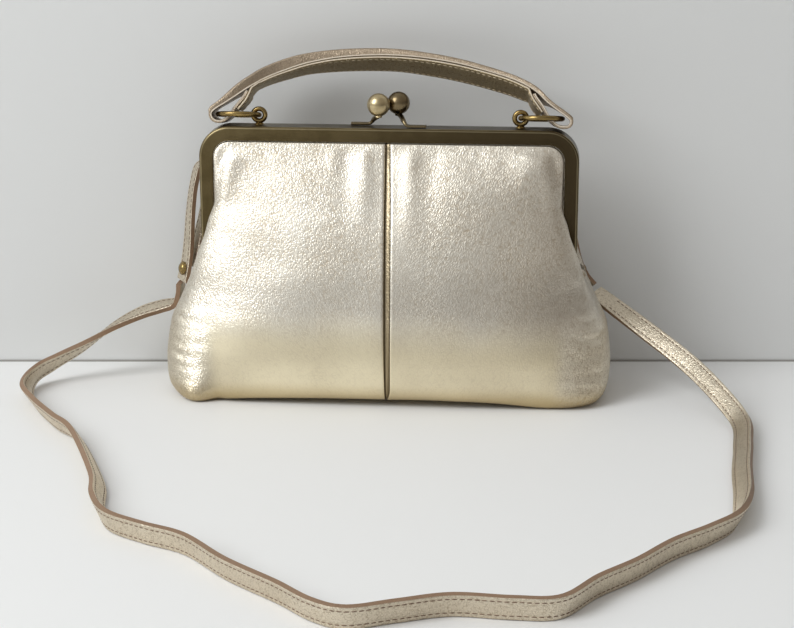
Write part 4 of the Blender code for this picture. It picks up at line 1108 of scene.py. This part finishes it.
def relief_back(x, z, w):
    total = 0.9 * ripple(x / 55, z / 48, 23.1) + 0.5 * ripple(x / 25, z / 22, 28.4)
    total += 0.7 * ramp(z, 62, 122) * (bell(x, -13.5, 2.6) + bell(x, 13.5, 2.6))
    total += 0.45 * ripple(x / 6.5, 9.4, z / 60) * ramp(z, 104, 128)
    low = ramp(z, 4, 18) * (1 - ramp(z, 58, 80))
    return total + ramp(abs(x / w), 0.72, 0.93) * low * 0.5 * ripple(x / 22 - z / 26, z / 4.4, 21.7)


def body_columns(w, power, left_fold, right_fold):
    """X and pleat depth of each column at one height, from the left edge to the right."""
    def half(edge):
        far = [w * math.cos(math.radians(3.2 + a)) ** (2 / power) for a in stretches(72.8, 25)]
        return [w] + far + [far[-1] + run for run in stretches(edge - far[-1], 22)[1:]]
    gap = max(right_fold - left_fold, 0.5)
    deep = min(2.4, 1.3 + gap * 0.35)
    pleat = [(-1.9, 0.02), (-1.0, -0.02), (-0.45, 0.16), (-0.12, 0.5), (0, 1.0), (-0.05, deep - 0.3),
             (gap * 0.14, deep), (gap * 0.5, deep - 0.35)]
    pleat = [(left_fold + x, sunk) for x, sunk in pleat]
    rise = [(-gap * 0.12, deep - 0.7), (0, max(deep - 1.2, 0.55)), (0.08, 0.36), (0.35, 0.1), (0.9, -0.06),
            (1.9, 0.0)]
    pleat += [(right_fold + x, sunk) for x, sunk in rise]
    return ([(-x, 0.0) for x in half(3.2 - left_fold)] + pleat
            + [(x, 0.0) for x in reversed(half(right_fold + 3.2))])


def body_grid(front, heights):
    """Rows of (x, depth, z, depth of the pleat), and each row's half width."""
    rows = []
    reaches = []
    for z in heights:
        w, d, power = body_size(z)
        push = max(eased(belly_table, z) - w, 0) if z > belly_table[0][0] else 0
        folds = eased(pleat_table, z, 1), eased(pleat_table, z, 2)
        if not front:
            power = min(power, back_roundness)
            w *= 1 - 0.012 * ramp(-z, -30, -5)
            d *= back_depth
            folds = -back_seam, back_seam
        outward = ramp(z, 48, 79)
        start = lip_depth / mm * outward + 2.0 * (1 - outward)
        row = []
        for x, sunk in body_columns(w, power, *folds):
            depth = start + (d - start) * (1 - min(abs(x) / w, 1.0) ** power) ** (1 / power)
            aside = push * ramp(depth, 8.7, 12.5) * ramp(abs(x), w - 42, w - 4)
            row.append((x + math.copysign(aside, x), depth, z, sunk))
        rows.append(row)
        reaches.append(w)
    return rows, reaches


def body_heights():
    heights = [0.0, 0.5, 1.2, 2.1, 3.2, 4.6, 6.2, 8.0]
    while heights[-1] < 124:
        heights.append(heights[-1] + 1.35)
    rest = (frame_top - body_inset) / mm - heights[-1]
    return heights + [heights[-1] + rest * math.sin(turn) for turn in stretches(math.pi / 2, 9)[1:]]


def outward_directions(rows):
    """Outward directions of rows of points (x, depth, z)."""
    grid = np.array([[point[:3] for point in row] for row in rows])
    normals = np.cross(np.gradient(grid, axis=0), np.gradient(grid, axis=1))
    return normals / np.maximum(np.linalg.norm(normals, axis=2, keepdims=True), 1e-9)


def add_flange(vertices, faces, rows, facing):
    """Adds the leather's edge: turned in at the side seams, and pushed into the channel above them."""
    columns = len(rows[0])
    last = len(rows) - 1
    border = [(i, 0) for i in range(last)] + [(last, j) for j in range(columns)]
    border += [(i, columns - 1) for i in range(last - 1, -1, -1)]
    start = len(vertices)
    for i, j in border:
        x, _, z, _ = rows[i][j]
        out = Vector((0, 1)) if i == last else outline_inside(z)[1]
        sign = -1 if x < 0 else 1
        for reach, seam_in, seam_depth in ((0.35, 0.35, 0.75), (tongue_reach / mm, 1.3, 0.15)):
            held = Vector((x + sign * out.x * reach, tongue_depth / mm, z + out.y * reach))
            sewn = Vector((x - sign * seam_in, seam_depth, z))
            p = sewn.lerp(held, in_channel(z))
            vertices.append(Vector((p.x, facing * p.y, p.z)) * mm)
    for k in range(len(border) - 1):
        a, b = (i * columns + j for i, j in border[k:k + 2])
        c = start + 2 * k
        faces += [(a, b, c + 2, c), (c, c + 2, c + 3, c + 1)]


def add_sheet(node, ending, shape, finish, facing, angle, thickness, sharp=None, pleat_shade_shares=None):
    """A sheet of leather or cloth with its thickness; the back one rides on the bag."""
    vertices, faces = shape
    if facing > 0:
        faces = [face[::-1] for face in faces]
    obj = add_piece(f"{node.split('_')[0]}_{ending}", (vertices, faces), [finish], node=node, outward=False,
                    angle=angle)
    # the pleat's depth, kept for the painted shade in the pleat
    if pleat_shade_shares:
        pleat_shade = obj.data.attributes.new("pleat_shade", "FLOAT", "POINT")
        pleat_shade.data.foreach_set("value", pleat_shade_shares + [0.0] * (len(vertices) - len(pleat_shade_shares)))
    shell = obj.modifiers.new("thickness", "SOLIDIFY")
    shell.thickness = thickness
    shell.offset = -1
    made = final_mesh(obj)
    obj.modifiers.clear()
    obj.data = made
    made.shade_smooth()
    if sharp:
        made.set_sharp_from_angle(angle=math.radians(sharp))
    if facing < 0:
        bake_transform(obj)
    else:
        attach(obj, "bag")


def make_leather(word, facing):
    front = facing < 0
    rows, reaches = body_grid(front, body_heights())
    normals = outward_directions(rows)
    columns = len(rows[0])
    vertices = []
    for i, row in enumerate(rows):
        for j, (x, d, z, sunk) in enumerate(row):
            held = ramp(min(reaches[i] - abs(x), 200), 0.0, 7.0 if in_channel(z) > 0.5 else 4.0)
            held *= ramp((frame_top - body_inset) / mm - z, 0.0, 7.0) * ramp(z, 0.0, 5.0)
            relief = (relief_front if front else relief_back)(x, z, reaches[i]) * held
            px, pd, pz = Vector((x, d, z)) + Vector(normals[i][j]) * relief
            pd -= sunk
            pz += base_bow(x, facing * pd) * math.exp(-z / bow_fade)
            if front:
                pd += corner_jut(x) * math.exp(-z / jut_fade) * ramp(pd, 8, 32)
            vertices.append(Vector((px, facing * max(pd, 0.15), max(pz, 0.05))) * mm)
    faces = strips(len(rows), columns, closed=False)
    add_flange(vertices, faces, rows, facing)
    # turned under at the foot, behind the base
    foot = len(vertices)
    for x, d, _, sunk in rows[0]:
        inner = max((d - sunk) * 0.94, 0.15)
        if front:
            inner += corner_jut(x) * ramp(d, 8, 32)
        vertices.append(Vector((x * 0.975, facing * inner, 0.15 + base_bow(x, facing * inner))) * mm)
    faces += [(j + 1, j, foot + j, foot + j + 1) for j in range(columns - 1)]
    # how deep each point lies in the pleat, which sets the painted shade there
    pleat_shade_shares = [ramp(point[3], 0.2, 0.7) for row in rows for point in row]
    add_sheet(f"{word}_panel", "leather", (vertices, faces), body_leather, facing, 75,
              leather_thickness, 75, pleat_shade_shares)


def make_lining(word, facing):
    """Cloth lining behind the leather, with its floor over the base board."""
    rows = []
    for z in (5.5, 9, 14, 20, 27, 35, 44, 53, 60, 64, 68, 76, 84, 92, 100, 108, 116, 124, 129, 132):
        w, d, power = body_size(z)
        start = lining_lip * in_channel(z)
        inner_w = w - 1.9 - 0.9 * (1 - in_channel(z))
        inner_d = max(d - lining_gap, 4.6)
        row = []
        for a in stretches(math.pi, 60):
            c, s = rounded(a, 2 / power)
            x = -c * inner_w
            depth = start + (inner_d - start) * abs(s)
            depth -= 1.5 * bell(x, 1.5, 5.5) * ramp(depth, 4, 7) + abs(0.5 * ripple(x / 16, z / 14, 40.0 + facing))
            row.append((x, facing * max(depth, 0.3), z))
        rows.append(row)
    vertices = []
    for share in (0.0, 0.5, 0.94):
        for x, y, _ in rows[0]:
            x, y = x * (0.9 + 0.07 * share), facing * max(abs(y) * share, 0.3)
            vertices.append(Vector((x, y, 4.0 + base_bow(x, y))) * mm)
    vertices += [bowed(*p) for row in rows for p in row]
    add_sheet(f"{word}_lining", "lining_cloth", (vertices, strips(len(rows) + 3, len(rows[0]), closed=False)),
              lining_cloth, facing, 60, lining_thickness)


def bowed_slab(outline, edge, length, breadth, bottom):
    """A slab of one outline, closed over its two faces and bowed at the front; edge holds (share, height)."""
    within = [i / 10 for i in range(1, 10)]
    rings = [(share, 0.0) for share in within] + edge + [(share, edge[-1][1]) for share in reversed(within)]
    vertices = []
    for share, z in rings:
        for c, s in outline:
            x, y = c * length * share, s * breadth * share
            vertices.append(Vector((x, y, bottom + z + base_bow(x, y))) * mm)
    count = len(outline)
    faces = strips(len(rings), count)
    for first, turned in ((0, True), ((len(rings) - 1) * count, False)):
        vertices.append(sum(vertices[first:first + count], Vector()) / count)
        for j in range(count):
            face = (first + j, first + (j + 1) % count, len(vertices) - 1)
            faces.append(face[::-1] if turned else face)
    return vertices, faces


def make_base():
    """The leather under the bag, let in between the two panels' turned edges, and the board inside it."""
    outline = [rounded(a, 2 / base_roundness) for a in stretches(2 * math.pi, 160)[:-1]]
    edge = [(0.94, 0.0), (0.985, 0.05), (1.0, 0.4), (1.0, 1.0), (0.985, 1.35), (0.94, 1.4)]
    shape = bowed_slab(outline, edge, base_half_length, base_half_breadth, 0.0)
    add_piece("base_leather", shape, [body_leather], "bag", "base_panel")
    low, high = (Vector(corner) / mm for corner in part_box("base_board"))
    edge = [(0.99, 0.0), (1.0, 0.15), (1.0, 1.2), (0.99, 1.35)]
    shape = bowed_slab(outline, edge, (high.x - low.x) / 2, (high.y - low.y) / 2, low.z)
    add_piece("base_board_sheet", shape, [board_grey], "bag", "base_board")


# ---- build ---------------------------------------------------------------------------------------

set_stage()
make_strap()
make_loop("left", left_loop_route, left_loop_width, left_loop_top, -1)
make_loop("right", right_loop_route, right_loop_width, right_loop_top, 1)
make_frame_half("front", -1, "front_frame_half")
make_frame_half("back", 1, "bag")
sides = (("left", -1), ("right", 1))
for word, side in sides:
    make_rivet(word, side)
for word, side in sides:
    make_clasp(word, side)
    make_handle_fittings(word, side)
make_strap_ring("left", -1, left_ring_swing)
make_strap_ring("right", 1, right_ring_swing)
make_handle()
make_leather("front", -1)
make_leather("back", 1)
make_lining("front", -1)
make_lining("back", 1)
make_base()

# solids that show as they are, in a finish of their own
for node_name, finish in (("strap_lug_left", ring_brass), ("strap_lug_right", ring_brass),
                          ("front_filler_cord", paper_twist), ("back_filler_cord", paper_twist)):
    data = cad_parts[node_name].data
    data.materials.clear()
    data.materials.append(finish)
